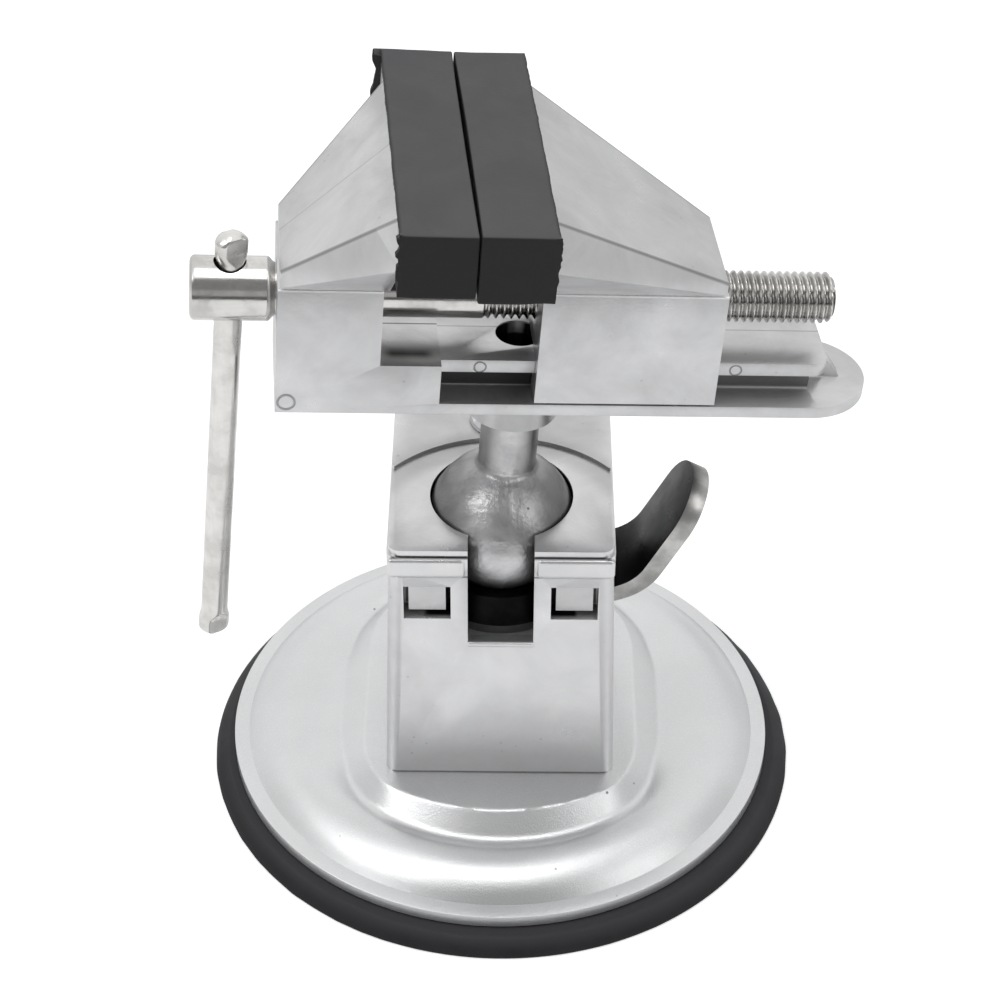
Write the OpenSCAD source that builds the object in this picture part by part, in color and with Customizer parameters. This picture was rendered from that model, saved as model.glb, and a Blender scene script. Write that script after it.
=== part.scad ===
// Suction base vise: a rubber cup under a stamped dome, a cast block with a ball joint,
// and a small jaw vise on the ball. Millimetres, +Z up, origin under the middle of the cup.

/* [Suction cup] */
// Diameter of the rubber cup
cup_d = 125.4; // [120:0.2:130]
// How far the soft cup sits to the right of the middle
cup_shift_x = 0.3; // [0:0.1:0.5]
// How far it sits in front of the middle
cup_shift_y = 0.9; // [0:0.1:1]
// Height of the cup's rim inside the base plate
cup_rim_h = 4.8; // [4:0.1:6]
// Height of the cup's skirt outside the base plate
cup_skirt_h = 3.4; // [2.6:0.1:3.5]
// Width of the skirt's sloping edge
cup_slope = 2.4; // [1:0.1:3]
// Thickness of the rubber under the steel disc
cup_skin = 3; // [2:0.1:3.4]
// Diameter of the steel disc moulded into the cup
cup_plate_d = 40; // [30:1:50]
// Thickness of that disc
cup_plate_t = 1.6; // [1:0.1:2.4]

/* [Base plate] */
// Diameter of the stamped base plate
base_d = 116.2; // [112:0.2:119]
// Thickness of its sheet
sheet = 1.6; // [1.2:0.1:2]
// How far the plate's edge is turned down below its lip
hem_h = 1.3; // [0.5:0.1:1.3]
// Height from the cup's rim to the top of the shoulder
shoulder_h = 6.25; // [5.5:0.05:7]
// Rise of the flat ring towards the platform
ring_rise = 0.45; // [0:0.05:0.8]
// Height of the platform's top above the table
platform_z = 14.8; // [13.8:0.1:16]
// Half width of the platform's flat top
platform_hw = 29; // [27:0.5:31]
// Radius of the platform's curved front and back edges
platform_r = 44; // [42:0.5:46]
// Offset of those curves' centres from the middle
platform_shift = 8; // [6:0.5:10]
// Width of the platform's sloping wall for each millimetre of its height
platform_slope = 1.65; // [1.2:0.05:2]

/* [Block] */
// Half width of the block at its foot
block_hw = 23.9; // [23:0.1:25]
// Draft of each side over the block's height
block_draft = 1.6; // [0.5:0.1:2]
// Depth of the block from its middle to the front at the foot
block_front = 25.1; // [24.5:0.1:26]
// Draft of the front and back over the block's height
block_draft_y = 0.9; // [0.3:0.1:1.2]
// Radius of the block's upright edges
block_edge_r = 2.5; // [1.5:0.1:3.5]
// Height of the block's top above the table
block_top = 73.3; // [72:0.1:75]
// Thickness of the block's floor
floor_t = 3.7; // [3:0.1:5]
// Height of the ledge that carries the ball's seat, also the foot of the front slot
ledge_z = 51; // [50.6:0.1:52]
// Half width of the front slot
slot_hw = 6.6; // [6.4:0.1:7]
// Height of the raised band at the top of the block
band_h = 3.4; // [2.5:0.1:4.5]
// How far the band stands out
band_out = 0.35; // [0.1:0.05:0.6]
// Offset of the two front windows from the middle
window_x = 14.7; // [14:0.1:15]
// Width of a window
window_w = 9.4; // [8.6:0.1:10]
// Height of a window's lower edge
window_z = 57.4; // [56:0.1:59]
// Height of a window
window_h = 8.3; // [7:0.1:9]
// Radius of the four housing screws
base_screw_r = 2; // [1.5:0.1:2.5]
// Offset of those screws from the middle, across
base_screw_x = 17.5; // [16.8:0.1:18.5]
// Offset of those screws from the middle, front to back
base_screw_y = 18.8; // [18.2:0.1:19.5]

/* [Clamp cover] */
// Thickness of the cover's front part
cover_t = 1.6; // [1.2:0.1:2.2]
// Extra thickness of its back part
cover_step = 0.9; // [0.4:0.1:1.4]
// Radius of the arched step between the two parts
cover_step_r = 29; // [27:0.5:31]
// Radius of the round hole round the ball
cover_hole_r = 14.42; // [14.3:0.02:14.6]
// Width of a hook tab
hook_w = 7.4; // [6:0.1:8]
// Length of the housing screws in the block
base_screw_len = 12; // [10:0.5:12.4]
// Offset of the cover bolt behind the middle
bolt_y = 17.6; // [16.5:0.1:18.5]
// Radius of the cover bolt's shank
bolt_r = 2.5; // [2:0.1:3]
// Radius of the cover bolt's domed head
bolt_head_r = 6.8; // [5.5:0.1:7]

/* [Ball joint] */
// Radius of the ball
ball_r = 15; // [14.8:0.05:15]
// Height of the ball's middle above the table
ball_z = 69; // [68.8:0.05:69]
// Offset of the ball's middle behind the origin (negative is in front)
ball_y = -6.4; // [-6.6:0.1:-6]
// Radius of the stem
stem_r = 5.75; // [5:0.05:5.9]
// Height of the stem's top above the ball's middle
stem_top = 32.4; // [31:0.1:32.5]
// Clearance of the seat round the ball
seat_gap = 0.05; // [0.03:0.01:0.1]
// Thickness of the rubber ring under the seat
seat_pad_t = 2; // [1.5:0.1:2.4]
// Height of the seat ring
seat_h = 7.6; // [6:0.1:8.4]
// Radius of the swivel screw's shank
swivel_r = 3; // [2.5:0.1:3.2]
// Radius of the swivel screw's head
swivel_head_r = 4.1; // [3.8:0.1:4.2]

/* [Lever] */
// Height of the lever's pin above the table
pivot_z = 38; // [37.6:0.1:38.4]
// Outer radius of the return spring
spring_r = 6.4; // [5.5:0.1:8]
// Radial thickness of the return spring
spring_w = 2; // [1:0.1:2.2]
// Radius of the washers on the lever's pin
washer_r = 5; // [4:0.1:6]
// Radius of the lever's pin
pin_r = 2.5; // [2:0.1:3]
// Radius of the lever's hub
hub_r = 7.5; // [6.8:0.1:7.6]
// Radius of the two cams beside the hub
cam_r = 6.5; // [6:0.1:6.6]
// Offset of the cams' middle from the pin
cam_throw = 2.5; // [2:0.1:2.6]
// Width of the lever's strap
strap_w = 18.6; // [16:0.2:18.8]
// Thickness of the strap
strap_t = 3.7; // [3:0.1:3.8]
// Slope of the strap where it leaves the block
strap_in_deg = 20; // [18:0.5:21]
// Slope of the strap's handle end
strap_out_deg = 62.5; // [60:0.5:64]
// Length of the straight handle end
strap_out_len = 20.5; // [18:0.5:26]

/* [Bed] */
// Height of the bed's underside above the ball's middle
bed_z = 34; // [33.4:0.1:35]
// Half width of the bed and of the jaws' bodies
bed_hw = 12.5; // [12:0.1:13.5]
// Thickness of the bed's plate
bed_t = 2.4; // [2:0.1:3]
// Distance from the stem to the bed's left end
bed_left = 46.8; // [45:0.1:49]
// Distance from the stem to the bed's round right end
bed_right = 69.1; // [67:0.1:72]
// Radius of the boss over the stem
boss_r = 9; // [8.5:0.1:10]
// Height of that boss
boss_h = 6.5; // [6:0.1:7]
// Height of the foot block's top above the bed's underside
foot_h = 10.9; // [10.6:0.1:11.2]
// Distance from the stem to the foot block's right end
foot_end = 15.7; // [15:0.1:20]
// Height of the rail's top above the bed's underside
rail_h = 10.5; // [10:0.1:10.6]
// Half width of the rail's web
web_hw = 5.8; // [5.2:0.1:6.5]
// Half width of the rail's flange
flange_hw = 9.6; // [9:0.1:9.8]
// Thickness of that flange
flange_t = 2.7; // [2.2:0.1:3]
// Distance from the stem to the rail's right end
rail_end = 59.3; // [57:0.1:61]
// Radius of the hole in the rail
rail_hole_r = 4.5; // [4.3:0.1:5]

/* [Jaws] */
// Height of the jaw bodies' shoulders above the bed's underside
shoulder_z = 27.2; // [26.5:0.1:28]
// Width of the ledge round the jaw bodies' shoulders
ledge_w = 0.45; // [0.2:0.05:0.8]
// Height of the fixed jaw's roof at its outer end
fixed_roof = 31; // [30:0.1:32]
// Height of the moving jaw's roof at its outer end
moving_roof = 30; // [29.4:0.1:31]
// Height of both roofs at the jaw plates
roof_top = 51; // [50:0.1:52]
// Half width of the roofs' flat at the plates
roof_hw = 26; // [24:0.5:28]
// Height of the flanks' lower corners at the plates
flank_z = 44.3; // [43.5:0.1:45]
// Half length of the jaw plates
plate_hl = 33; // [31:0.5:35]
// Height of the jaw plates' underside above the bed's underside
plate_z = 42.6; // [42:0.1:43]
// Thickness of the jaw plates
plate_t = 11.4; // [10:0.1:12]
// Length of the fixed jaw's body
fixed_len = 19.5; // [18:0.1:20]
// Length of the moving jaw's body
moving_len = 34.9; // [33:0.1:36]
// Gap between the moving jaw and the rail
slide_gap = 0.15; // [0.1:0.05:0.2]

/* [Jaw covers] */
// Wall of the rubber covers
cover_wall = 1.8; // [1.2:0.1:2.2]
// Gap between the covers when the jaws are closed
jaw_gap = 0.3; // [0.3:0.1:1]
// Distance from the stem to the middle of that gap (negative is on the fixed jaw's side)
seam_x = -12.85; // [-13.5:0.05:-12.2]

/* [Screw] */
// Height of the screw's axis above the bed's underside
screw_z = 19.7; // [19:0.1:20.5]
// Radius of the screw's shank and thread
screw_r = 5; // [4.5:0.1:5.4]
// Depth of the thread
thread_depth = 0.8; // [0.5:0.1:1]
// Pitch of the thread
pitch = 1.5; // [1.25:0.25:2]
// Distance from the stem to the thread's start (negative is on the fixed jaw's side)
thread_x = -7.8; // [-10:0.1:-2]
// Distance from the stem to the screw's right end
screw_end = 60.1; // [57:0.1:64]
// Radius of the screw's barrel head
head_r = 6.2; // [5.8:0.1:6.8]
// Length of that head
head_len = 15.1; // [13:0.1:17]
// Length of the cone between the head and the jaw
neck_len = 1; // [0.6:0.1:1.6]
// Running clearance of the screw, the lever and the swivel
fit_gap = 0.06; // [0.04:0.01:0.1]
// Radius of the pin that keeps the screw
keeper_r = 1.5; // [1.2:0.1:1.8]

/* [Tommy bar] */
// Radius of the bar
bar_r = 2.7; // [2.3:0.1:2.8]
// Radius of the cross hole in the screw's head
bar_hole_r = 3.1; // [3:0.05:3.3]
// Length of the bar
bar_len = 98.6; // [90:0.2:110]
// Length of a pinched end
pinch_len = 5.9; // [5:0.1:7]
// Half width of a pinched end
pinch_hw = 3.25; // [3.2:0.05:3.6]
// Lean of the bar in its loose hole
bar_lean = 1.6; // [0:0.1:1.7]
// Swing of the bar round the screw's axis
bar_swing = -2.2; // [-3:0.1:3]

/* [Pose at rest] */
// Turn of the head about the upright axis
head_yaw = 5.1; // [0:0.1:10]
// Sideways lean of the head
head_roll = 4.1; // [0:0.1:5]
// Forward lean of the head
head_pitch = -2.2; // [-5:0.1:5]

/* [Hidden] */
$fn = 64;
eps = 0.01;

cast_grey = [0.80, 0.80, 0.81];
painted_grey = [0.76, 0.77, 0.78];
plated = [0.82, 0.80, 0.77];
dark_rubber = [0.16, 0.16, 0.17];
raw_cast = [0.58, 0.58, 0.58];

cup_r = cup_d / 2;
base_r = base_d / 2;
cup_plate_z = cup_skin + 0.1;
cup_plate_top = cup_plate_z + cup_plate_t;
lip_top = cup_rim_h + sheet;
hem_z = cup_rim_h - hem_h;
shoulder_z_top = cup_rim_h + shoulder_h;
ring_top = shoulder_z_top + ring_rise;
platform_under = platform_z - sheet;

block_h = block_top - platform_z;
block_top_hw = block_hw - block_draft;
block_top_front = block_front - block_draft_y;
cover_top = block_top + cover_t;
cover_back_top = cover_top + cover_step;
floor_top = platform_z + floor_t;
bore_r = ball_r + 0.3;
cavity_hd = 14;
cavity_left = 13.5;
slot_wall_x = 15.6;
lever_slot_hd = strap_w / 2 + 0.6;
lever_slot_top = 54.6;
lever_slot_bottom = floor_top + 1;
pocket_back = 19.6;
pocket_front = 21.8;
bolt_depth = 16;

seat_z = ledge_z + seat_pad_t;

cam_in = strap_w / 2 + 0.2;
yoke_in = cam_in + 0.4;
yoke_t = 3;
yoke_out = yoke_in + yoke_t;
washer_t = 0.8;
cam_dx = -cam_throw * cos(30);
cam_dz = -cam_throw * sin(30);
eye_gap = 0.15;
eye_side = 0.4;
eye_left = cam_throw + cam_r + eye_side;
eye_right = cam_dx + cam_r + eye_side;
yoke_wall = 2.2;
yoke_floor_z = floor_top + 1.5;
yoke_floor_t = 3;
rod_r = 3;
nut_h = 2.6;
rod_top = yoke_floor_z + yoke_floor_t + nut_h + 0.6;
pin_front = block_front - 2.7;
pin_back = block_front - 0.4;

strap_bend_r = 12.05;
strap_bend_x = 20.3;
strap_bend_z = 62.8;
tip_r = strap_w / 2;

stem_in_boss = bed_z - boss_h;
counterbore_z = bed_z + 1;
swivel_washer_t = 0.6;
swivel_head_h = 2.8;
swivel_depth = 12;

body_right = -bed_left + fixed_len;
cover_depth = plate_t + cover_wall;
fixed_plate_x = seam_x - jaw_gap / 2 - cover_depth;
moving_plate_x = seam_x + jaw_gap / 2 + cover_depth;
moving_left = moving_plate_x + 1.9;
moving_right = moving_left + moving_len;
skirt_z = bed_t + 0.4;
flange_z = rail_h - flange_t;
head_x = -bed_left - neck_len - 0.1;
bar_x = head_x - head_len / 2;
keeper_x = -bed_left + fixed_len / 2;
keeper_root = screw_r - 1.4;
keeper_y = keeper_root + keeper_r + fit_gap;
bar_top = head_r + pinch_len + 0.3;

// Points along an arc in a plane, n steps from angle a to angle b
function arc(cx, cy, r, a, b, n = 6) =
    [for (i = [0:n]) [cx + r * cos(a + (b - a) * i / n), cy + r * sin(a + (b - a) * i / n)]];

// A rectangle with round corners, between two corner points
module round_rect(lo, hi, r) {
    w = hi[0] - lo[0];
    d = hi[1] - lo[1];
    translate([lo[0] + r, lo[1]]) square([w - 2 * r, d]);
    translate([lo[0], lo[1] + r]) square([w, d - 2 * r]);
    for (x = [lo[0] + r, hi[0] - r], y = [lo[1] + r, hi[1] - r]) translate([x, y]) circle(r);
}

// A box between two corners
module block(lo, hi) {
    translate(lo) cube(hi - lo);
}

// A cylinder along X from x0 to x1
module rod_x(r, x0, x1) {
    translate([x0, 0, 0]) rotate([0, 90, 0]) cylinder(r = r, h = x1 - x0);
}

// A cylinder along Y from y0 to y1
module rod_y(r, y0, y1) {
    translate([0, y1, 0]) rotate([90, 0, 0]) cylinder(r = r, h = y1 - y0);
}

// A tube along Z
module tube(r_out, r_in, z0, z1) {
    translate([0, 0, z0]) difference() {
        cylinder(r = r_out, h = z1 - z0);
        translate([0, 0, -1]) cylinder(r = r_in, h = z1 - z0 + 2);
    }
}

// The head's frame: origin at the ball's middle, leaning as it stands
module in_head() {
    translate([0, ball_y, ball_z]) rotate([head_pitch, head_roll, head_yaw]) children();
}

// The bed's frame: as the head's, with its origin on the bed's underside
module on_bed() {
    in_head() translate([0, 0, bed_z]) children();
}

// ---- Suction cup and its pull gear

module suction_cup() {
    pocket_r = cup_plate_d / 2 + 0.1;
    color(dark_rubber) difference() {
        translate([cup_shift_x, -cup_shift_y, 0]) cup_body();
        translate([0, 0, cup_skin]) cylinder(r = pocket_r, h = 10);
    }
}

// The cup without the pocket for its disc
module cup_body() {
    rotate_extrude() polygon(concat(
        [[0, 0], [cup_r - 0.2, 0], [cup_r, 0.4]],
        [[cup_r - cup_slope * 0.5, cup_skirt_h * 0.62]],
        [[cup_r - cup_slope, cup_skirt_h - 0.3], [cup_r - cup_slope - 0.7, cup_skirt_h]],
        [[base_r - sheet - 1.3, cup_skirt_h], [base_r - sheet - 1.3, cup_rim_h]],
        [[base_r - 9, cup_rim_h], [base_r - 13, cup_skin + 0.6], [0, cup_skin + 0.6]]
    ));
}

module cup_plate() {
    color(plated) tube(cup_plate_d / 2, rod_r + 0.02, cup_plate_z, cup_plate_top);
}

module pull_rod() {
    color(plated) translate([0, 0, cup_plate_z]) cylinder(r = rod_r, h = rod_top - cup_plate_z);
}

module rod_nut() {
    z = yoke_floor_z + yoke_floor_t + 0.02;
    color(plated) translate([0, 0, z]) difference() {
        cylinder(r = 5.5, h = nut_h, $fn = 6);
        translate([0, 0, -1]) cylinder(r = rod_r + 0.02, h = nut_h + 2);
    }
}

// A fork of two cheeks, each with an eye that a cam turns in
module pull_yoke() {
    top = pivot_z + cam_dz + cam_r + eye_gap + yoke_wall;
    x0 = -eye_left - yoke_wall;
    x1 = eye_right + yoke_wall;
    color(plated) difference() {
        union() {
            for (s = [-1, 1]) {
                y0 = min(s * yoke_in, s * yoke_out);
                block([x0, y0, yoke_floor_z], [x1, y0 + yoke_t, top]);
            }
            block([x0, -yoke_out, yoke_floor_z], [x1, yoke_out, yoke_floor_z + yoke_floor_t]);
        }
        block(
            [-eye_left, -yoke_out - 1, pivot_z + cam_dz - cam_r - eye_gap],
            [eye_right, yoke_out + 1, pivot_z + cam_dz + cam_r + eye_gap]
        );
        translate([0, 0, yoke_floor_z - 1]) cylinder(r = rod_r + 0.02, h = yoke_floor_t + 2);
    }
}

module return_spring() {
    color(plated) tube(spring_r, spring_r - spring_w, cup_plate_top + 0.05, platform_under - 0.05);
}

// ---- Base plate

// The platform's outline, grown by d
module platform_outline(d) {
    offset(r = d + 7, $fn = 32) offset(delta = -7) intersection() {
        square([2 * platform_hw, 4 * platform_r], center = true);
        translate([0, platform_shift]) circle(platform_r, $fn = 64);
        translate([0, -platform_shift]) circle(platform_r, $fn = 64);
    }
}

// The platform as a solid, sunk by the sheet's thickness for its inside
module platform_solid(sink) {
    drop = platform_z - shoulder_z_top + 1.2;
    hull() {
        translate([0, 0, platform_z - sink - drop]) linear_extrude(eps) {
            platform_outline(0.7 + (drop - 0.4) * platform_slope);
        }
        translate([0, 0, platform_z - sink - 0.4]) linear_extrude(eps) platform_outline(0.7);
        translate([0, 0, platform_z - sink - eps]) linear_extrude(eps) platform_outline(0);
    }
}

// The dome below a surface that lies "sink" under the plate's top
module dome(sink) {
    foot = [base_r - 3.1, lip_top + 2];
    wall_a = 25;
    crown = [foot[0] - 6, shoulder_z_top - 4];
    rim = sink > 0
        ? [[0, 0], [base_r - sink, 0], [base_r - sink, lip_top - sink]]
        : concat([[0, hem_z], [base_r, hem_z]], arc(base_r - 1.5, lip_top - 1.5, 1.5, 0, 90, 4));
    rotate_extrude() polygon(concat(
        rim,
        arc(foot[0], foot[1], 2 + sink, -90, -180 + wall_a, 5),
        arc(crown[0], crown[1], 4 - sink, wall_a, 88, 6),
        [[platform_hw, ring_top - sink], [0, ring_top - sink]]
    ));
}

module base_plate() {
    color(painted_grey) difference() {
        union() {
            dome(0);
            platform_solid(0);
        }
        dome(sheet);
        platform_solid(sheet);
        cylinder(r = rod_r + 0.4, h = 3 * platform_z, center = true);
        base_screw_places() cylinder(r = base_screw_r + 0.2, h = 3 * platform_z, center = true);
    }
}

// ---- Block

module base_screw_places() {
    for (x = [-base_screw_x, base_screw_x], y = [-base_screw_y, base_screw_y]) {
        translate([x, y, 0]) children();
    }
}

module housing_screws() {
    thread_top = platform_z + base_screw_len;
    color(plated) base_screw_places() {
        translate([0, 0, platform_under - 1.9]) cylinder(r = 3.8, h = 1.85);
        translate([0, 0, platform_under - 1]) cylinder(r = base_screw_r, h = thread_top - platform_under);
    }
}

// The block's outline at a height, from 0 at the foot to 1 at the top
module block_outline(t, grow = 0) {
    hw = block_hw - block_draft * t + grow;
    front = block_front - block_draft_y * t + grow;
    round_rect([-hw, -front], [hw, front], block_edge_r);
}

module housing() {
    band_z = block_top - band_h;
    color(cast_grey) difference() {
        union() {
            hull() {
                translate([0, 0, platform_z]) linear_extrude(eps) block_outline(0, $fn = 32);
                translate([0, 0, block_top - eps]) linear_extrude(eps) block_outline(1, $fn = 32);
            }
            translate([0, 0, band_z]) linear_extrude(band_h) block_outline(1, band_out);
        }
        // the ball's bore, the cavity under it and the front slot
        translate([0, ball_y, ledge_z]) cylinder(r = bore_r, h = block_top);
        block([-cavity_left, -cavity_hd, floor_top], [slot_wall_x, cavity_hd, ledge_z - 0.3]);
        translate([0, ball_y, floor_top + 5]) cylinder(r = bore_r - 5, h = block_top);
        block([-slot_hw, -block_front - 1, ledge_z], [slot_hw, ball_y, block_top + 1]);
        // the lever's slot in the right wall
        block(
            [slot_wall_x - 1, -lever_slot_hd, lever_slot_bottom],
            [block_hw + 1, lever_slot_hd, lever_slot_top]
        );
        // the front windows and the pockets behind them
        for (s = [-1, 1]) {
            x = s * window_x;
            block(
                [x - window_w / 2, -block_front - 1, window_z],
                [x + window_w / 2, -pocket_back, window_z + window_h]
            );
            block(
                [x - hook_w / 2 - 0.3, -pocket_front, window_z],
                [x + hook_w / 2 + 0.3, -pocket_back, block_top + 1]
            );
        }
        // holes for the pin, the rod, the cover bolt and the screws
        translate([0, 0, pivot_z]) rod_y(pin_r + 0.02, -pin_front - 0.05, block_front + 1);
        cylinder(r = rod_r + 0.4, h = 2 * floor_top);
        translate([0, bolt_y, block_top - bolt_depth]) cylinder(r = bolt_r + 0.02, h = bolt_depth + 1);
        base_screw_places() translate([0, 0, platform_z - 1]) {
            cylinder(r = base_screw_r + 0.02, h = 13.5);
        }
    }
}

module lever_pin() {
    color(plated) translate([0, 0, pivot_z]) rod_y(pin_r, -pin_front, pin_back);
}

module lever_washers() {
    y0 = yoke_out + 0.15;
    color(plated) translate([0, 0, pivot_z]) for (s = [-1, 1]) {
        rotate([s * 90, 0, 0]) tube(washer_r, pin_r + 0.05, y0, y0 + washer_t);
    }
}

// ---- Clamp cover

module clamp_cover() {
    hw = block_top_hw;
    front = block_top_front;
    hook_foot = window_z + 1.6;
    color(cast_grey) difference() {
        union() {
            translate([0, 0, block_top + eps]) linear_extrude(cover_t - eps) {
                round_rect([-hw, -front], [hw, front], block_edge_r);
            }
            translate([0, 0, cover_top - eps]) linear_extrude(cover_step + eps) difference() {
                round_rect([-hw, 0], [hw, front], block_edge_r);
                translate([0, bolt_y + ball_y - cover_step_r]) circle(cover_step_r, $fn = 96);
            }
            for (s = [-1, 1]) {
                x = s * window_x;
                block(
                    [x - hook_w / 2, 0.2 - pocket_front, hook_foot],
                    [x + hook_w / 2, -pocket_back - 0.4, block_top + 0.5]
                );
                block(
                    [x - hook_w / 2, -block_top_front + 0.7, hook_foot],
                    [x + hook_w / 2, -pocket_back - 0.4, window_z + window_h - 0.15]
                );
            }
        }
        translate([0, ball_y, 0]) cylinder(r = cover_hole_r, h = 2 * block_top, $fn = 96);
        block([-slot_hw, -front - 1, 0], [slot_hw, ball_y, 2 * block_top]);
        translate([0, bolt_y, 0]) cylinder(r = bolt_r + 0.2, h = 2 * block_top);
    }
}

module cover_bolt() {
    dome_h = 3.2;
    dome_r = (bolt_head_r * bolt_head_r + dome_h * dome_h) / (2 * dome_h);
    color(plated) translate([0, bolt_y, 0]) {
        translate([0, 0, block_top - bolt_depth + 1]) cylinder(r = bolt_r, h = bolt_depth + cover_t + 1);
        translate([0, 0, cover_back_top + 0.02]) rotate_extrude() polygon(concat(
            [[0, 0], [bolt_head_r, 0]],
            arc(0, 1.6 + dome_h - dome_r, dome_r, asin((dome_r - dome_h) / dome_r), 90, 8)
        ));
    }
}

// ---- Ball joint

module seat_pad() {
    color(dark_rubber) translate([0, ball_y, 0]) {
        tube(bore_r - 0.1, bore_r - 4.6, ledge_z + 0.02, seat_z - 0.02);
    }
}

module ball_seat() {
    color(plated) translate([0, ball_y, 0]) difference() {
        tube(bore_r - 0.1, bore_r - 5, seat_z, seat_z + seat_h);
        translate([0, 0, ball_z]) sphere(r = ball_r + seat_gap, $fn = 96);
    }
}

module ball_stud() {
    color(raw_cast) in_head() difference() {
        union() {
            sphere(r = ball_r, $fn = 96);
            cylinder(r = stem_r, h = stem_top);
        }
        translate([0, 0, stem_top - swivel_depth]) cylinder(r = swivel_r + 0.02, h = swivel_depth + 1);
    }
}

module swivel_washer() {
    color(plated) in_head() {
        tube(swivel_head_r, swivel_r + 0.1, counterbore_z + 0.05, counterbore_z + swivel_washer_t);
    }
}

module swivel_screw() {
    head_z = counterbore_z + swivel_washer_t + 0.02;
    color(plated) in_head() difference() {
        union() {
            translate([0, 0, head_z]) cylinder(r = swivel_head_r, h = swivel_head_h);
            translate([0, 0, stem_top - swivel_depth + 1]) {
                cylinder(r = swivel_r, h = head_z - stem_top + swivel_depth);
            }
        }
        translate([0, 0, head_z + 1]) cylinder(r = 2.3, h = swivel_head_h, $fn = 6);
    }
}

// ---- Lever

// The strap's side view: a straight root, a bend and a straight handle
module strap_side() {
    a0 = strap_in_deg - 90;
    a1 = strap_out_deg - 90;
    ro = strap_bend_r + strap_t / 2;
    ri = strap_bend_r - strap_t / 2;
    root = strap_bend_x / cos(strap_in_deg) + 3.5;
    out = [cos(strap_out_deg), sin(strap_out_deg)] * strap_out_len;
    back = [cos(strap_in_deg), sin(strap_in_deg)] * root;
    outer = arc(strap_bend_x, strap_bend_z, ro, a0, a1, 8);
    inner = arc(strap_bend_x, strap_bend_z, ri, a1, a0, 8);
    polygon(concat([outer[0] - back], outer, [outer[8] + out, inner[0] + out], inner, [inner[8] - back]));
}

module cam_lever() {
    tip = [
        strap_bend_x + strap_bend_r * sin(strap_out_deg) + (strap_out_len - tip_r) * cos(strap_out_deg),
        strap_bend_z - strap_bend_r * cos(strap_out_deg) + (strap_out_len - tip_r) * sin(strap_out_deg)
    ];
    color(plated) difference() {
        union() {
            intersection() {
                rotate([90, 0, 0]) linear_extrude(strap_w, center = true) strap_side();
                translate([tip[0], 0, tip[1]]) rotate([0, -strap_out_deg, 0]) union() {
                    block([-200, -strap_w, -200], [0, strap_w, 200]);
                    cylinder(r = tip_r, h = 20, center = true);
                }
            }
            translate([0, 0, pivot_z]) rod_y(hub_r, -cam_in, cam_in);
            translate([cam_dx, 0, pivot_z + cam_dz]) rod_y(cam_r, -yoke_out, yoke_out);
        }
        translate([0, 0, pivot_z]) rod_y(pin_r + fit_gap, -100, 100);
    }
}

// ---- Bed and fixed jaw

// A section of a jaw's flared top, from 0 at its outer end to 1 at its plate
module flare_section(t, roof) {
    hw = bed_hw - ledge_w;
    low = [hw + (plate_hl - hw) * t, shoulder_z + (flank_z - shoulder_z) * t];
    high = [hw + (roof_hw - hw) * t, roof + (roof_top - roof) * t];
    polygon([
        [-hw, shoulder_z - 0.1], [hw, shoulder_z - 0.1],
        low, high, [-high[0], high[1]], [-low[0], low[1]]
    ]);
}

// The flared top of a jaw: from its outer end at x0 to its plate at x1
module flare(x0, x1, roof) {
    n = 5;
    for (i = [0:n - 1]) hull() for (t = [i / n, (i + 1) / n]) {
        translate([x0 + (x1 - x0) * t - eps * t * sign(x1 - x0), 0, 0]) rotate([90, 0, 90]) {
            linear_extrude(eps) flare_section(t, roof);
        }
    }
}

// The block that a rubber cover fits over, its back at x
module jaw_plate(x, d) {
    x1 = x + d * plate_t;
    block(
        [min(x - d * 0.5, x1), -plate_hl, plate_z],
        [max(x - d * 0.5, x1), plate_hl, roof_top]
    );
}

// The T-shaped rail, its end and the small web under its nose
module rail() {
    corner = 3;
    block([-foot_end - 1, -web_hw, bed_t - 0.1], [rail_end - 2.5, web_hw, flange_z + 0.1]);
    translate([0, 0, flange_z]) linear_extrude(flange_t) {
        round_rect([-foot_end - 4, -flange_hw], [rail_end, flange_hw], corner);
        translate([-foot_end - 4, -flange_hw]) square([20, 2 * flange_hw]);
    }
    rotate([90, 0, 0]) linear_extrude(3, center = true) polygon([
        [rail_end - 4, bed_t - 0.1], [rail_end + 4.5, bed_t - 0.1],
        [rail_end + 4.5, bed_t + 0.2], [rail_end - 0.2, rail_h - 1], [rail_end - 4, rail_h - 1]
    ]);
}

module vise_bed() {
    color(cast_grey) on_bed() difference() {
        union() {
            translate([bed_right - bed_hw, 0, 0]) cylinder(r = bed_hw, h = bed_t, $fn = 96);
            block([-bed_left, -bed_hw, 0], [bed_right - bed_hw, bed_hw, bed_t]);
            block([-bed_left, -bed_hw, 0], [-foot_end, bed_hw, foot_h]);
            block([-bed_left, -bed_hw, 0], [body_right, bed_hw, shoulder_z - 0.05]);
            rail();
            flare(-bed_left + ledge_w, fixed_plate_x, fixed_roof);
            jaw_plate(fixed_plate_x, 1);
            translate([0, 0, -boss_h]) cylinder(r = boss_r, h = boss_h + 0.5);
        }
        // the screw's bore and the keeper pin's hole across it
        translate([0, 0, screw_z]) rod_x(screw_r + fit_gap, -bed_left - 1, body_right + 5);
        translate([keeper_x, keeper_y, -1]) cylinder(r = keeper_r + 0.02, h = screw_z + 8);
        // the stem's socket, the screw's hole and the hole down from the rail
        translate([0, 0, -boss_h - 1]) cylinder(r = stem_r + fit_gap, h = stem_top - stem_in_boss + 1.1);
        translate([0, 0, -boss_h]) cylinder(r = swivel_r + fit_gap, h = 2 * boss_h);
        translate([0, 0, counterbore_z - bed_z]) cylinder(r = rail_hole_r, h = rail_h);
    }
}

module screw_pin() {
    color(plated) on_bed() translate([keeper_x, keeper_y, 0.1]) cylinder(r = keeper_r, h = screw_z + 6.5);
}

// ---- Moving jaw

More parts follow.
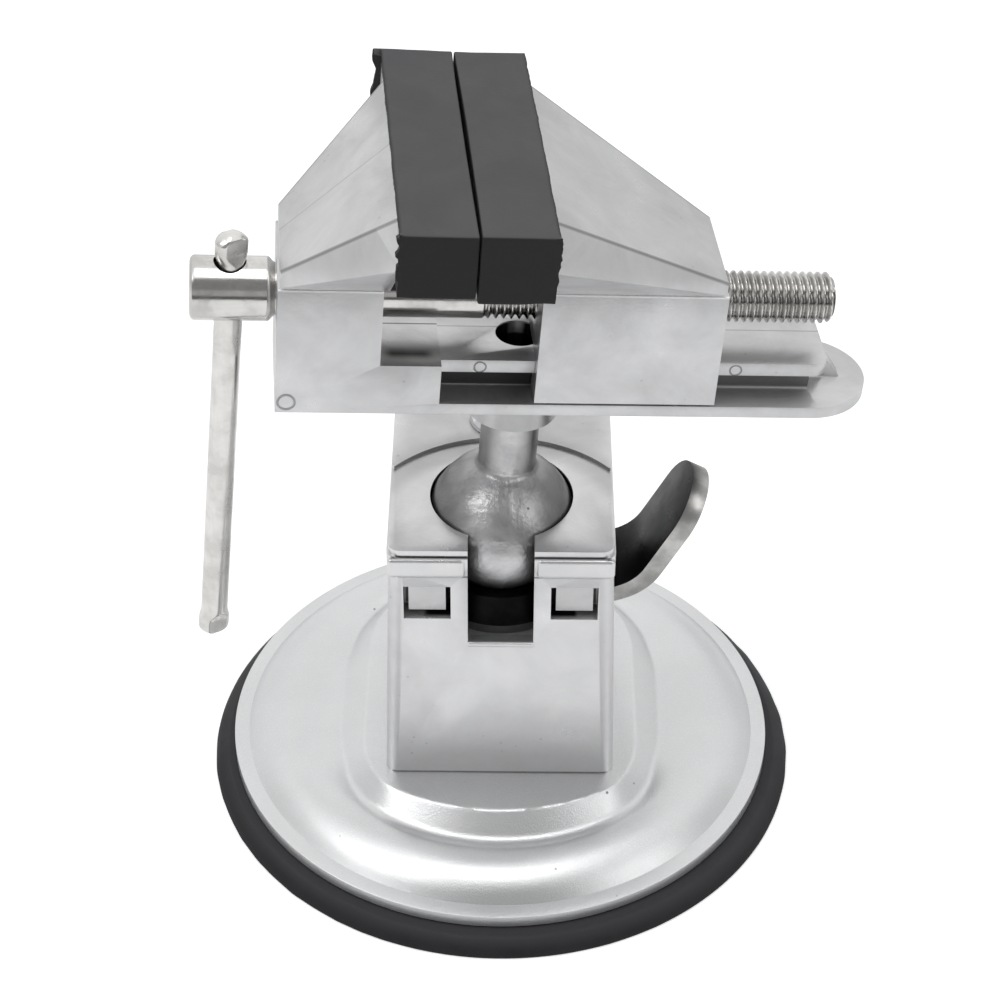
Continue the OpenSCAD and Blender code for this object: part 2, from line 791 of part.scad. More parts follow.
module moving_jaw() {
    lip_top_z = flange_z - slide_gap;
    color(cast_grey) on_bed() difference() {
        union() {
            block([moving_left, -bed_hw, skirt_z], [moving_right, bed_hw, shoulder_z - 0.05]);
            flare(moving_right - ledge_w, moving_plate_x, moving_roof);
            jaw_plate(moving_plate_x, -1);
        }
        block([moving_left - 1, -web_hw - 0.3, 0], [moving_right + 1, web_hw + 0.3, lip_top_z + 0.1]);
        block(
            [moving_left - 1, -flange_hw - slide_gap, lip_top_z],
            [moving_right + 1, flange_hw + slide_gap, rail_h + slide_gap]
        );
        translate([0, 0, screw_z]) rod_x(screw_r + fit_gap, moving_plate_x - 1, moving_right + 1);
    }
}

// ---- Jaw covers

// A rubber boot over a jaw plate whose back lies at x
module jaw_cover(x, d) {
    gap = 0.05;
    x0 = x + d * 0.3;
    x1 = x + d * cover_depth;
    x2 = x + d * (plate_t + gap);
    difference() {
        block(
            [min(x0, x1), -plate_hl - cover_wall - 0.2, plate_z - cover_wall],
            [max(x0, x1), plate_hl + cover_wall + 0.2, roof_top + cover_wall]
        );
        block(
            [min(x0 - d, x2), -plate_hl - gap, plate_z - gap],
            [max(x0 - d, x2), plate_hl + gap, roof_top + gap]
        );
    }
}

module fixed_jaw_cover() {
    color(dark_rubber) on_bed() jaw_cover(fixed_plate_x, 1);
}

module moving_jaw_cover() {
    color(dark_rubber) on_bed() jaw_cover(moving_plate_x, -1);
}

// ---- Screw and bar

// The screw turned about its axis, measured along it from the stem
module lead_screw() {
    count = floor((screw_end - 1 - thread_x) / pitch);
    crest = pitch * 0.25;
    flank = (pitch - 2 * crest) / 2;
    color(plated) on_bed() translate([0, 0, screw_z]) difference() {
        rotate([0, 90, 0]) rotate_extrude() rotate(90) polygon(concat(
            [[head_x - head_len, 0], [head_x - head_len, -head_r + 0.4]],
            [[head_x - head_len + 0.4, -head_r], [head_x - 0.3, -head_r], [head_x, -head_r + 0.3]],
            [[-bed_left - 0.1, -screw_r]],
            [[keeper_x - keeper_r - 0.1, -screw_r], [keeper_x - keeper_r - 0.1, -keeper_root]],
            [[keeper_x + keeper_r + 0.1, -keeper_root], [keeper_x + keeper_r + 0.1, -screw_r]],
            [for (i = [0:count - 1], p = [
                [thread_x + i * pitch, -screw_r],
                [thread_x + i * pitch + flank, -screw_r + thread_depth],
                [thread_x + i * pitch + flank + crest, -screw_r + thread_depth],
                [thread_x + i * pitch + 2 * flank + crest, -screw_r]
            ]) p],
            [[screw_end - 0.8, -screw_r], [screw_end, -screw_r + 0.8], [screw_end, 0]]
        ));
        translate([bar_x, 0, 0]) rotate([-bar_swing, 0, 0]) {
            cylinder(r = bar_hole_r, h = 4 * head_r, center = true);
        }
    }
}

// The bar hangs by its upper pinched end
module tommy_bar() {
    color(plated) on_bed() translate([bar_x, 0, screw_z]) rotate([-bar_swing, bar_lean, 0]) {
        translate([0, 0, bar_top - bar_len]) difference() {
            union() {
                translate([0, 0, pinch_len]) cylinder(r = bar_r, h = bar_len - 2 * pinch_len);
                for (z = [0, bar_len - pinch_len]) translate([0, 0, z]) {
                    intersection() {
                        block([-pinch_hw, -bar_r, 0], [pinch_hw, bar_r, pinch_len]);
                        translate([0, 0, z > 0 ? pinch_len - pinch_hw - 0.6 : pinch_hw + 0.6]) {
                            rotate([90, 0, 0]) cylinder(r = pinch_hw + 0.6, h = 20, center = true);
                        }
                    }
                }
            }
            for (z = [0, bar_len], s = [-1, 1]) translate([0, 0, z]) {
                rotate([0, 0, 30]) block([-9, s > 0 ? 1.9 : -9, -pinch_len], [9, s > 0 ? 9 : -1.9, pinch_len]);
            }
        }
    }
}

suction_cup();
cup_plate();
pull_rod();
rod_nut();
pull_yoke();
return_spring();
base_plate();
housing();
housing_screws();
clamp_cover();
cover_bolt();
ball_seat();
seat_pad();
cam_lever();
lever_pin();
lever_washers();
ball_stud();
swivel_screw();
swivel_washer();
vise_bed();
screw_pin();
lead_screw();
tommy_bar();
moving_jaw();
fixed_jaw_cover();
moving_jaw_cover();
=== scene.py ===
import bmesh
import bpy
import math
import numpy as np
from mathutils import Matrix


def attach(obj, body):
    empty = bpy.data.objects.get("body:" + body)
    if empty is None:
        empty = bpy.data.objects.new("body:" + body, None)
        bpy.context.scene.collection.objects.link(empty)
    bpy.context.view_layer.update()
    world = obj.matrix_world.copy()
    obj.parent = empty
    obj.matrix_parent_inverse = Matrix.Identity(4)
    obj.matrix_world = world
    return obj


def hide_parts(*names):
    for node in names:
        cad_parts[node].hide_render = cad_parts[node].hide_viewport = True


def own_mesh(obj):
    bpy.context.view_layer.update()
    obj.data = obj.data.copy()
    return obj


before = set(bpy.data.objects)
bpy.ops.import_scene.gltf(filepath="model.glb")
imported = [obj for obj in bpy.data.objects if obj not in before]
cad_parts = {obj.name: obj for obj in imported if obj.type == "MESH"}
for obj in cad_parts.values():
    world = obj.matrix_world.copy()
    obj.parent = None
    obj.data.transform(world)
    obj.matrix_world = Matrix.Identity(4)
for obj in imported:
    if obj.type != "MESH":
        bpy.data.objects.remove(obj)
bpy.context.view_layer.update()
print("frame loaded")


def addObject(name, data):
    thing = bpy.data.objects.new(name, data)
    bpy.context.scene.collection.objects.link(thing)
    return thing


def placeBy(thing, place, x, y, z):
    # the thing's own axes go along x, y and z
    turn = Matrix([[x[i], y[i], z[i]] for i in range(3)]).to_4x4()
    thing.matrix_world = Matrix.Translation(place) @ turn


view = {
    "place": (0.000618, -0.412594, 0.404839),
    "pitch": 0.6843022,   # how far it looks down
    "pan": -0.0023358,
    "roll": 0.0064641,
    "lens": 93.57,
    "sensor": 36,
}


def addCamera(values):
    # looks along +Y, turned by pan, pitched down, then rolled about its own line of sight
    p, a, r = values["pitch"], values["pan"], values["roll"]
    forward = np.array([math.sin(a) * math.cos(p), math.cos(a) * math.cos(p), -math.sin(p)])
    right = np.array([math.cos(a), -math.sin(a), 0.0])
    up = np.cross(right, forward)
    data = bpy.data.cameras.new("photoCamera")
    data.lens = values["lens"]
    data.sensor_width = values["sensor"]
    data.sensor_fit = "HORIZONTAL"
    data.clip_start = 0.01
    camera = addObject("photoCamera", data)
    placeBy(camera, values["place"], math.cos(r) * right + math.sin(r) * up,
            math.cos(r) * up - math.sin(r) * right, -forward)
    bpy.context.scene.camera = camera


addCamera(view)
bpy.context.scene.view_settings.view_transform = "Standard"

white = (1, 1, 1, 1)
room = {
    "floorColour": 0.9,
    "floorHalf": 4,
    "floorGlow": 0.5,       # added for the camera only, so the paper reads white
    "mirrorGlow": 0.28,     # the same for reflections
    "skyColour": (0.98, 0.99, 1, 1),
    "skyForShade": 0.5,     # strength of the sky where it lights the object
    # place, what it looks at, size and power
    "lamps": {
        "key": ((-0.5, -0.25, 0.75), (0, 0, 0.07), (0.4, 0.4), 1.3),
        "fill": ((0.6, -0.35, 0.5), (0, 0, 0.07), (0.4, 0.4), 0.5),
        "top": ((0.0, -0.06, 0.95), (0, 0, 0.02), (0.4, 0.44), 1.6),
    },
    # studio boards, seen only in reflections: brightness and corners
    "boards": {
        "lowBoard": (0.12, [(-1, -0.8, 0.02), (1, -0.8, 0.02), (1, -0.8, 0.2), (-1, -0.8, 0.2)]),
        "middleBoard": (0.45, [(-1, -0.8, 0.2), (1, -0.8, 0.2), (1, -0.8, 0.5), (-1, -0.8, 0.5)]),
        "highBoard": (0.27, [(-0.8, -0.8, 0.5), (0.8, -0.8, 0.5), (0.5, -0.36, 1), (-0.5, -0.36, 1)]),
        "leftBoard": (0.7, [(-0.9, -0.5, 0.05), (-0.9, 0.3, 0.05), (-0.9, 0.3, 0.8), (-0.9, -0.5, 0.8)]),
        "backLeftBoard": (0.9, [(-2.4, 1.2, 0), (-0.42, 1.2, 0), (-0.42, 1.2, 0.5), (-2.4, 1.2, 0.5)]),
        "backRightBoard": (0.7, [(0.42, 1.2, 0), (2.4, 1.2, 0), (2.4, 1.2, 0.5), (0.42, 1.2, 0.5)]),
        "rightBoard": (0.62, [(0.9, -0.5, 0.05), (0.9, 0.3, 0.05), (0.9, 0.3, 0.8), (0.9, -0.5, 0.8)]),
    },
}


def join(tree, source, socket):
    # the source is another node's output or a plain value
    if isinstance(source, bpy.types.NodeSocket):
        tree.links.new(source, socket)
    else:
        socket.default_value = source


def addNode(tree, kind, **values):
    # each value is a setting of the node or, by its name, one of its inputs
    node = tree.nodes.new(kind)
    for key, value in values.items():
        if hasattr(node, key):
            setattr(node, key, value)
        else:
            join(tree, value, node.inputs[key.replace("_", " ")])
    return node


def sums(tree, operation, a, b=0.0):
    node = addNode(tree, "ShaderNodeMath", operation=operation)
    join(tree, a, node.inputs[0])
    join(tree, b, node.inputs[1])
    return node.outputs[0]


def addArea(name, place, aim, size, power):
    data = bpy.data.lights.new(name, "AREA")
    data.shape = "RECTANGLE"
    data.size, data.size_y = size
    data.energy = power
    z = np.array(place, float) - np.array(aim, float)
    z /= np.linalg.norm(z)
    x = np.cross([0, 0, 1.0], z)
    x /= np.linalg.norm(x)
    placeBy(addObject(name, data), place, x, np.cross(z, x), z)


def addPanel(name, corners, tone):
    mesh = bpy.data.meshes.new(name)
    mesh.from_pydata(corners, [], [(0, 1, 2, 3)])
    panel = addObject(name, mesh)
    paper = bpy.data.materials.new(name + "Paper")
    paper.use_nodes = True
    bsdf = paper.node_tree.nodes["Principled BSDF"]
    bsdf.inputs["Base Color"].default_value = (tone, tone, tone, 1)
    bsdf.inputs["Roughness"].default_value = 0.95
    bsdf.inputs["Specular IOR Level"].default_value = 0.0
    mesh.materials.append(paper)
    return panel, paper.node_tree, bsdf


def addSky(values):
    # white where it is seen, straight or mirrored, and dimmer where it only lights the object
    world = bpy.data.worlds.new("room")
    bpy.context.scene.world = world
    world.use_nodes = True
    tree = world.node_tree
    tree.nodes.clear()
    rays = addNode(tree, "ShaderNodeLightPath")
    seen = sums(tree, "MAXIMUM", rays.outputs["Is Camera Ray"], rays.outputs["Is Glossy Ray"])
    seen = sums(tree, "MAXIMUM", seen, rays.outputs["Is Transmission Ray"])
    shade = addNode(tree, "ShaderNodeBackground", Color=values["skyColour"], Strength=values["skyForShade"])
    paper = addNode(tree, "ShaderNodeBackground", Color=white, Strength=1.0)
    mix = addNode(tree, "ShaderNodeMixShader", Fac=seen)
    join(tree, shade.outputs[0], mix.inputs[1])
    join(tree, paper.outputs[0], mix.inputs[2])
    addNode(tree, "ShaderNodeOutputWorld", Surface=mix.outputs[0])


def addFloor(values):
    half = values["floorHalf"]
    corners = [(-half, -half, 0), (half, -half, 0), (half, half, 0), (-half, half, 0)]
    _, tree, bsdf = addPanel("floor", corners, values["floorColour"])
    rays = addNode(tree, "ShaderNodeLightPath")
    seenGlow = sums(tree, "MULTIPLY", rays.outputs["Is Camera Ray"], values["floorGlow"])
    mirrorGlow = sums(tree, "MULTIPLY", rays.outputs["Is Glossy Ray"], values["mirrorGlow"])
    glow = addNode(tree, "ShaderNodeEmission", Color=white, Strength=sums(tree, "ADD", seenGlow, mirrorGlow))
    both = addNode(tree, "ShaderNodeAddShader")
    join(tree, bsdf.outputs[0], both.inputs[0])
    join(tree, glow.outputs[0], both.inputs[1])
    join(tree, both.outputs[0], tree.nodes["Material Output"].inputs["Surface"])


addSky(room)
for name, lamp in room["lamps"].items():
    addArea(name, *lamp)
addFloor(room)
for name, (tone, corners) in room["boards"].items():
    board, _, bsdf = addPanel(name, corners, 0.0)
    bsdf.inputs["Emission Color"].default_value = white
    bsdf.inputs["Emission Strength"].default_value = tone
    board.visible_camera = board.visible_diffuse = board.visible_shadow = board.visible_transmission = False
print("camera and room placed")


def newGroup(name, inputs, outputs, space="Object"):
    # each input is a vector or a float by its value; every output is a float
    group = bpy.data.node_groups.new(name, "ShaderNodeTree")
    for label, value in inputs.items():
        kind = "NodeSocketVector" if isinstance(value, tuple) else "NodeSocketFloat"
        group.interface.new_socket(label, in_out="INPUT", socket_type=kind).default_value = value
    for label in outputs:
        group.interface.new_socket(label, in_out="OUTPUT", socket_type="NodeSocketFloat")
    start, end = group.nodes.new("NodeGroupInput"), group.nodes.new("NodeGroupOutput")
    place = addNode(group, "ShaderNodeTexCoord").outputs[space]
    return group, start.outputs, end.inputs, place


def ramp(tree, source, low, high, toLow=0.0, toHigh=1.0, kind="SMOOTHSTEP"):
    node = addNode(tree, "ShaderNodeMapRange", interpolation_type=kind, Value=source,
                   From_Min=low, From_Max=high, To_Min=toLow, To_Max=toHigh)
    return node.outputs["Result"]


def vectors(tree, operation, a, b=None):
    node = addNode(tree, "ShaderNodeVectorMath", operation=operation)
    join(tree, a, node.inputs[0])
    if b is not None:
        join(tree, b, node.inputs[1])
    return node.outputs


def noise(tree, place, scale, **values):
    return addNode(tree, "ShaderNodeTexNoise", Vector=place, Scale=scale, **values).outputs["Fac"]


# mottled skin of a casting: broad clouds for the tint, fine lumps for the height, pits in some of the clouds
def makeCastSkin():
    group, start, end, place = newGroup(
        "castSkin", {"Cloud size": 0.006, "Lump size": 0.0006}, ("Tint", "Height", "Pits"))
    cloudScale = sums(group, "DIVIDE", 1.0, start["Cloud size"])
    lumpScale = sums(group, "DIVIDE", 1.0, start["Lump size"])
    cloud = noise(group, place, cloudScale, Detail=5.0, Roughness=0.62, Distortion=0.4)
    lump = noise(group, place, lumpScale, Detail=3.0, Roughness=0.55)
    cells = addNode(group, "ShaderNodeTexVoronoi", Vector=place, Scale=330.0, Randomness=1.0)
    pits = ramp(group, cells.outputs["Distance"], 0.05, 0.13, 1.0, 0.0)
    some = ramp(group, cloud, 0.52, 0.6)
    join(group, ramp(group, cloud, 0.3, 0.7, kind="LINEAR"), end["Tint"])
    join(group, lump, end["Height"])
    join(group, sums(group, "MULTIPLY", pits, some), end["Pits"])
    return group


# round an endless straight line: a soft mask that is zero at its width, and a thin ring just inside that
def makeLineMark():
    group, start, end, place = newGroup(
        "lineMark", {"Start": (0, 0, 0), "Direction": (0, 0, 0), "Width": 0.0004}, ("Mask", "Ring"))
    away = vectors(group, "SUBTRACT", place, start["Start"])[0]
    side = vectors(group, "CROSS_PRODUCT", away, start["Direction"])[0]
    far = vectors(group, "LENGTH", side)["Value"]
    share = sums(group, "DIVIDE", far, start["Width"])
    join(group, ramp(group, share, 0.25, 1.0, 1.0, 0.0), end["Mask"])
    off = sums(group, "ABSOLUTE", sums(group, "SUBTRACT", share, 0.85))
    join(group, ramp(group, off, 0.04, 0.16, 1.0, 0.0), end["Ring"])
    return group


# soft-edged box with its own axes: one inside, zero outside
def makeBoxMark():
    group, start, end, place = newGroup(
        "boxMark",
        {"Centre": (0, 0, 0), "Across": (1, 0, 0), "Along": (0, 1, 0), "Upward": (0, 0, 1),
         "Half": (0.01, 0.01, 0.01), "Soft": 0.001},
        ("Mask",))
    away = vectors(group, "SUBTRACT", place, start["Centre"])[0]
    half = addNode(group, "ShaderNodeSeparateXYZ")
    join(group, start["Half"], half.inputs[0])
    total = 1.0
    for k, axis in enumerate(("Across", "Along", "Upward")):
        along = vectors(group, "DOT_PRODUCT", away, start[axis])["Value"]
        depth = sums(group, "SUBTRACT", half.outputs[k], sums(group, "ABSOLUTE", along))
        share = ramp(group, sums(group, "DIVIDE", depth, start["Soft"]), 0.0, 1.0)
        total = sums(group, "MULTIPLY", total, share)
    join(group, total, end["Mask"])
    return group


# mask of the faces that look along a direction, in the piece's own frame
def makeFaceTone():
    group, start, end, normal = newGroup(
        "faceTone", {"Direction": (0, 0, 0), "From": 0.5, "To": 0.9}, ("Mask",), "Normal")
    facing = vectors(group, "DOT_PRODUCT", normal, start["Direction"])["Value"]
    join(group, ramp(group, facing, start["From"], start["To"]), end["Mask"])
    return group


# bright rubbed edges: where the surface is sharply convex, broken up by noise
def makeEdgeWear():
    group, start, end, place = newGroup("edgeWear", {"Amount": 0.5, "Size": 0.002}, ("Mask",))
    grain = noise(group, place, sums(group, "DIVIDE", 1.0, start["Size"]), Detail=4.0, Roughness=0.6)
    shape = addNode(group, "ShaderNodeNewGeometry")
    sharp = ramp(group, shape.outputs["Pointiness"], 0.53, 0.6)
    patchy = sums(group, "ADD", sums(group, "MULTIPLY", ramp(group, grain, 0.35, 0.65), 0.6), 0.4)
    worn = sums(group, "MULTIPLY", sharp, patchy)
    join(group, sums(group, "MULTIPLY", worn, start["Amount"]), end["Mask"])
    return group


# fine lines along an axis, as drawn or plated steel shows, and blotches
def makeDrawnLines():
    group, start, end, place = newGroup("drawnLines", {"Stretch": (40, 1500, 1500)}, ("Lines", "Blotch"))
    wide = vectors(group, "MULTIPLY", place, start["Stretch"])[0]
    join(group, noise(group, wide, 1.0, Detail=4.0, Roughness=0.6), end["Lines"])
    join(group, noise(group, place, 160.0, Detail=4.0, Roughness=0.6), end["Blotch"])
    return group


# grain of sprayed paint: small round bumps with a few specks
def makePaintGrain():
    group, start, end, place = newGroup("paintGrain", {"Grain size": 0.0004}, ("Height", "Speck", "Cloud"))
    scale = sums(group, "DIVIDE", 1.0, start["Grain size"])
    cloud = noise(group, place, 45.0, Detail=4.0)
    cells = addNode(group, "ShaderNodeTexVoronoi", Vector=place, Scale=120.0)
    few = ramp(group, cloud, 0.5, 0.58)
    speck = ramp(group, cells.outputs["Distance"], 0.02, 0.05, 1.0, 0.0)
    join(group, noise(group, place, scale, Detail=3.0, Roughness=0.7), end["Height"])
    join(group, sums(group, "MULTIPLY", speck, few), end["Speck"])
    join(group, cloud, end["Cloud"])
    return group


castSkin = makeCastSkin()
lineMark = makeLineMark()
boxMark = makeBoxMark()
faceTone = makeFaceTone()
edgeWear = makeEdgeWear()
drawnLines = makeDrawnLines()
paintGrain = makePaintGrain()


def useGroup(tree, group, **values):
    return addNode(tree, "ShaderNodeGroup", node_tree=group, **values).outputs


def startMaterial(name, metallic, roughness):
    material = bpy.data.materials.new(name)
    material.use_nodes = True
    tree = material.node_tree
    bsdf = tree.nodes["Principled BSDF"]
    bsdf.inputs["Metallic"].default_value = metallic
    bsdf.inputs["Roughness"].default_value = roughness
    return material, tree, bsdf


def blendColour(tree, mask, first, second):
    node = addNode(tree, "ShaderNodeMix", data_type="RGBA")
    join(tree, mask, node.inputs[0])
    for k, value in ((6, first), (7, second)):
        join(tree, value + (1,) if isinstance(value, tuple) else value, node.inputs[k])
    return node.outputs[2]


def stain(tree, colour, mask, share, tone):
    # the colour goes over to the tone where the mask is one, by the share
    return blendColour(tree, sums(tree, "MULTIPLY", mask, share), colour, tone)


def addBump(tree, bsdf, height, distance):
    bump = addNode(tree, "ShaderNodeBump", Height=height, Distance=distance, Strength=1.0)
    join(tree, bump.outputs[0], bsdf.inputs["Normal"])


# the crease and hollow tones are painted shade, the glint tone a painted highlight
castTones = {
    "bright": (0.70, 0.70, 0.705),
    "dull": (0.54, 0.54, 0.545),
    "pit": (0.26, 0.26, 0.265),
    "creaseShade": (0.13, 0.13, 0.135),
    "worn": (0.86, 0.86, 0.87),
    "glint": (0.95, 0.95, 0.95),
    "hollowShade": (0.012, 0.012, 0.012),
}


# satin die casting: clouds, pits, rubbed edges, lines of painted shade along creases and gaps, lines of painted
# highlight, rings (ejector marks, and one of painted shade) and painted shade in hollows
def makeCastAlloy(name, values):
    tones, roughness = values["tones"], 0.3
    material, tree, bsdf = startMaterial(name, 0.88, roughness)
    skin = useGroup(tree, castSkin, Cloud_size=0.016, Lump_size=0.0007)
    colour = blendColour(tree, skin["Tint"], tones["bright"], tones["dull"])
    colour = stain(tree, colour, skin["Pits"], 0.35, tones["pit"])
    colour = blendColour(tree, useGroup(tree, edgeWear, Amount=0.12)["Mask"], colour, tones["worn"])
    # lines paint shade along creases, gaps and the feet of parts; glints paint highlights along edges
    for marks, tone in (("lines", "creaseShade"), ("glints", "glint")):
        for start, direction, width, depth in values.get(marks, ()):
            mark = useGroup(tree, lineMark, Start=start, Direction=direction, Width=width)
            colour = stain(tree, colour, mark["Mask"], depth, tones[tone])
    height = skin["Height"]
    for start, direction, width, depth in values.get("rings", ()):
        mark = useGroup(tree, lineMark, Start=start, Direction=direction, Width=width)
        face = useGroup(tree, faceTone, Direction=direction, From=0.8, To=0.95)
        ring = sums(tree, "MULTIPLY", sums(tree, "MULTIPLY", mark["Ring"], face["Mask"]), depth)
        colour = blendColour(tree, ring, colour, tones["pit"])
        height = sums(tree, "ADD", height, sums(tree, "MULTIPLY", ring, 4.0))
    # each hollow box paints shade into a recess
    for centre, half, soft, depth, (across, along, upward) in values.get("hollows", ()):
        mark = useGroup(tree, boxMark, Centre=centre, Half=half, Soft=soft,
                        Across=across, Along=along, Upward=upward)
        colour = stain(tree, colour, mark["Mask"], depth, tones["hollowShade"])
    join(tree, colour, bsdf.inputs["Base Color"])
    rough = ramp(tree, skin["Tint"], 0.0, 1.0, roughness - 0.04, roughness + 0.1, "LINEAR")
    join(tree, rough, bsdf.inputs["Roughness"])
    addBump(tree, bsdf, height, 0.00003)
    return material


# raw casting of the ball: rough, with broad stains; painted shade darkens its sides and where it sits in the
# block
def makeRawCast():
    material, tree, bsdf = startMaterial("rawCast", 0.9, 0.34)
    skin = useGroup(tree, castSkin, Cloud_size=0.011, Lump_size=0.0008)
    colour = blendColour(tree, skin["Tint"], (0.78, 0.78, 0.785), (0.34, 0.34, 0.345))
    colour = blendColour(tree, skin["Pits"], colour, (0.1, 0.1, 0.1))
    # painted shade on the ball's left and right sides
    for way in (-1, 1):
        flank = useGroup(tree, faceTone, Direction=(way, 0, 0.1), From=0.2, To=0.85)
        colour = stain(tree, colour, flank["Mask"], 0.85, (0.14, 0.14, 0.14))
    # painted shade low down, where the ball sits in the block
    low = useGroup(tree, boxMark, Centre=(0, -0.012, 0.048), Half=(0.03, 0.03, 0.016), Soft=0.006)
    colour = blendColour(tree, low["Mask"], colour, (0.02, 0.02, 0.02))
    join(tree, colour, bsdf.inputs["Base Color"])
    addBump(tree, bsdf, skin["Height"], 0.00009)
    return material


# zinc plated steel with drawn lines; an optional painted shade on the faces that look one way, and another
# along a thread's roots
def makeZinc(name, bright, dull, roughness, stretch, facingShade=None, valley=None):
    material, tree, bsdf = startMaterial(name, 1.0, roughness)
    lines = useGroup(tree, drawnLines, Stretch=stretch)
    colour = blendColour(tree, ramp(tree, lines["Blotch"], 0.35, 0.68), bright, dull)
    colour = blendColour(tree, ramp(tree, lines["Lines"], 0.3, 0.7, 0.0, 0.25), colour, dull)
    if facingShade:
        direction, low, high, tone, share = facingShade
        face = useGroup(tree, faceTone, Direction=direction, From=low, To=high)
        colour = stain(tree, colour, face["Mask"], share, tone)
    if valley:
        start, direction, width, tone, share = valley
        root = useGroup(tree, lineMark, Start=start, Direction=direction, Width=width)
        colour = stain(tree, colour, root["Ring"], share, tone)
    join(tree, colour, bsdf.inputs["Base Color"])
    rough = ramp(tree, lines["Blotch"], 0.3, 0.7, roughness - 0.06, roughness + 0.1, "LINEAR")
    join(tree, rough, bsdf.inputs["Roughness"])
    addBump(tree, bsdf, lines["Lines"], 0.00001)
    return material


# silver paint with a fine grain
def makePaint():
    material, tree, bsdf = startMaterial("silverPaint", 0.8, 0.3)
    grain = useGroup(tree, paintGrain, Grain_size=0.00035)
    cloud = ramp(tree, grain["Cloud"], 0.35, 0.65)
    colour = blendColour(tree, cloud, (0.73, 0.735, 0.74), (0.69, 0.695, 0.70))
    colour = blendColour(tree, ramp(tree, grain["Height"], 0.45, 0.75, 0.0, 0.5), colour, (0.84, 0.845, 0.85))
    colour = blendColour(tree, grain["Speck"], colour, (0.18, 0.18, 0.18))
    join(tree, colour, bsdf.inputs["Base Color"])
    addBump(tree, bsdf, grain["Height"], 0.00005)
    return material


# moulded rubber: matt, slightly paler where it faces up
def makeRubber(name, base, pale, upwardTone):
    material, tree, bsdf = startMaterial(name, 0.0, 0.62)
    bsdf.inputs["Specular IOR Level"].default_value = 0.2
    skin = useGroup(tree, castSkin, Cloud_size=0.012, Lump_size=0.0005)
    colour = blendColour(tree, skin["Tint"], base, pale)
    top = useGroup(tree, faceTone, Direction=(0.07, 0.045, 0.997), From=0.55, To=0.95)
    join(tree, stain(tree, colour, top["Mask"], 0.8, upwardTone), bsdf.inputs["Base Color"])
    join(tree, ramp(tree, skin["Tint"], 0.0, 1.0, 0.52, 0.72, "LINEAR"), bsdf.inputs["Roughness"])
    addBump(tree, bsdf, skin["Height"], 0.00005)
    return material


# how the head stands, in degrees about the ball's middle
headTurn = {"yaw": 5.1, "roll": 4.1, "pitch": -2.2, "ball": (0.0, -6.4, 69.0)}


def turnMatrix(axis, degrees):
    c, s = math.cos(math.radians(degrees)), math.sin(math.radians(degrees))
    if axis == "x":
        return np.array([[1, 0, 0], [0, c, -s], [0, s, c]])
    if axis == "y":
        return np.array([[c, 0, s], [0, 1, 0], [-s, 0, c]])
    return np.array([[c, -s, 0], [s, c, 0], [0, 0, 1]])


headAxes = (turnMatrix("z", headTurn["yaw"]) @ turnMatrix("y", headTurn["roll"])
            @ turnMatrix("x", headTurn["pitch"]))


def fromHead(points):
    # millimetres in the head's frame, origin at the ball's middle, to millimetres in the part's frame
    return np.asarray(points, float) @ headAxes.T + np.array(headTurn["ball"])


def headMetres(point):
    return tuple(float(v) for v in fromHead(point) / 1000)


def headWay(vector):
    way = headAxes @ np.asarray(vector, float)
    return tuple(float(v) for v in way / np.linalg.norm(way))


def mendMesh(mesh, merge, thin=None, flat=None, outward=False):
    # points closer than merge become one; slivers under thin and edges between faces within flat degrees go
    work = bmesh.new()
    work.from_mesh(mesh)
    bmesh.ops.remove_doubles(work, verts=work.verts, dist=merge)
    if thin:
        bmesh.ops.dissolve_degenerate(work, dist=thin, edges=work.edges)
    if flat:
        bmesh.ops.dissolve_limit(work, angle_limit=math.radians(flat), verts=work.verts, edges=work.edges)
    if outward:
        bmesh.ops.recalc_face_normals(work, faces=work.faces)
    work.to_mesh(mesh)
    work.free()


def shapedMesh(thing):
    # the mesh with its modifiers worked in, and the object removed
    bpy.context.view_layer.update()
    mesh = bpy.data.meshes.new_from_object(thing.evaluated_get(bpy.context.evaluated_depsgraph_get()))
    bpy.data.objects.remove(thing)
    return mesh


def placeMesh(mesh, name, material, body, angle, merge=True, outward=True):
    if merge:
        mendMesh(mesh, 2e-6, thin=1e-7, outward=outward)
    mesh.name = name
    mesh.materials.clear()
    mesh.materials.append(material)
    mesh.shade_smooth()
    mesh.set_sharp_from_angle(angle=math.radians(angle))
    piece = addObject(name, mesh)
    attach(piece, body)
    return piece


def gridMesh(points, closeU=False, closeV=True):
    # a grid of points in millimetres, (rows, columns, 3), joined into quads; each way may close on itself
    rows, cols = points.shape[:2]
    index = np.arange(rows * cols).reshape(rows, cols)
    if closeU:
        index = np.vstack([index, index[:1]])
    if closeV:
        index = np.hstack([index, index[:, :1]])
    quads = np.stack([index[:-1, :-1], index[:-1, 1:], index[1:, 1:], index[1:, :-1]], -1).reshape(-1, 4)
    mesh = bpy.data.meshes.new("grid")
    mesh.vertices.add(rows * cols)
    mesh.vertices.foreach_set("co", (points.reshape(-1, 3) / 1000).astype(np.float32).ravel())
    mesh.loops.add(quads.size)
    mesh.loops.foreach_set("vertex_index", quads.astype(np.int32).ravel())
    mesh.polygons.add(len(quads))
    mesh.polygons.foreach_set("loop_start", np.arange(0, quads.size, 4, dtype=np.int32))
    mesh.update(calc_edges=True)
    mesh.validate()
    return mesh


def revolved(profile, steps):
    # a profile of (radius, height) pairs turned about the upright axis
    profile = np.asarray(profile, float)
    angle = np.linspace(0, 2 * np.pi, steps, endpoint=False)
    r, z = profile[:, :1], profile[:, 1:2]
    return np.stack([r * np.cos(angle), r * np.sin(angle), z + 0 * angle], -1)


def arcPoints(cx, cy, radius, start, stop, count):
    a = np.radians(np.linspace(start, stop, count + 1))
    return np.stack([cx + radius * np.cos(a), cy + radius * np.sin(a)], -1)


def eased(share):
    # from nought to one with a soft start and end
    share = np.clip(share, 0, 1)
    return share * share * (3 - 2 * share)


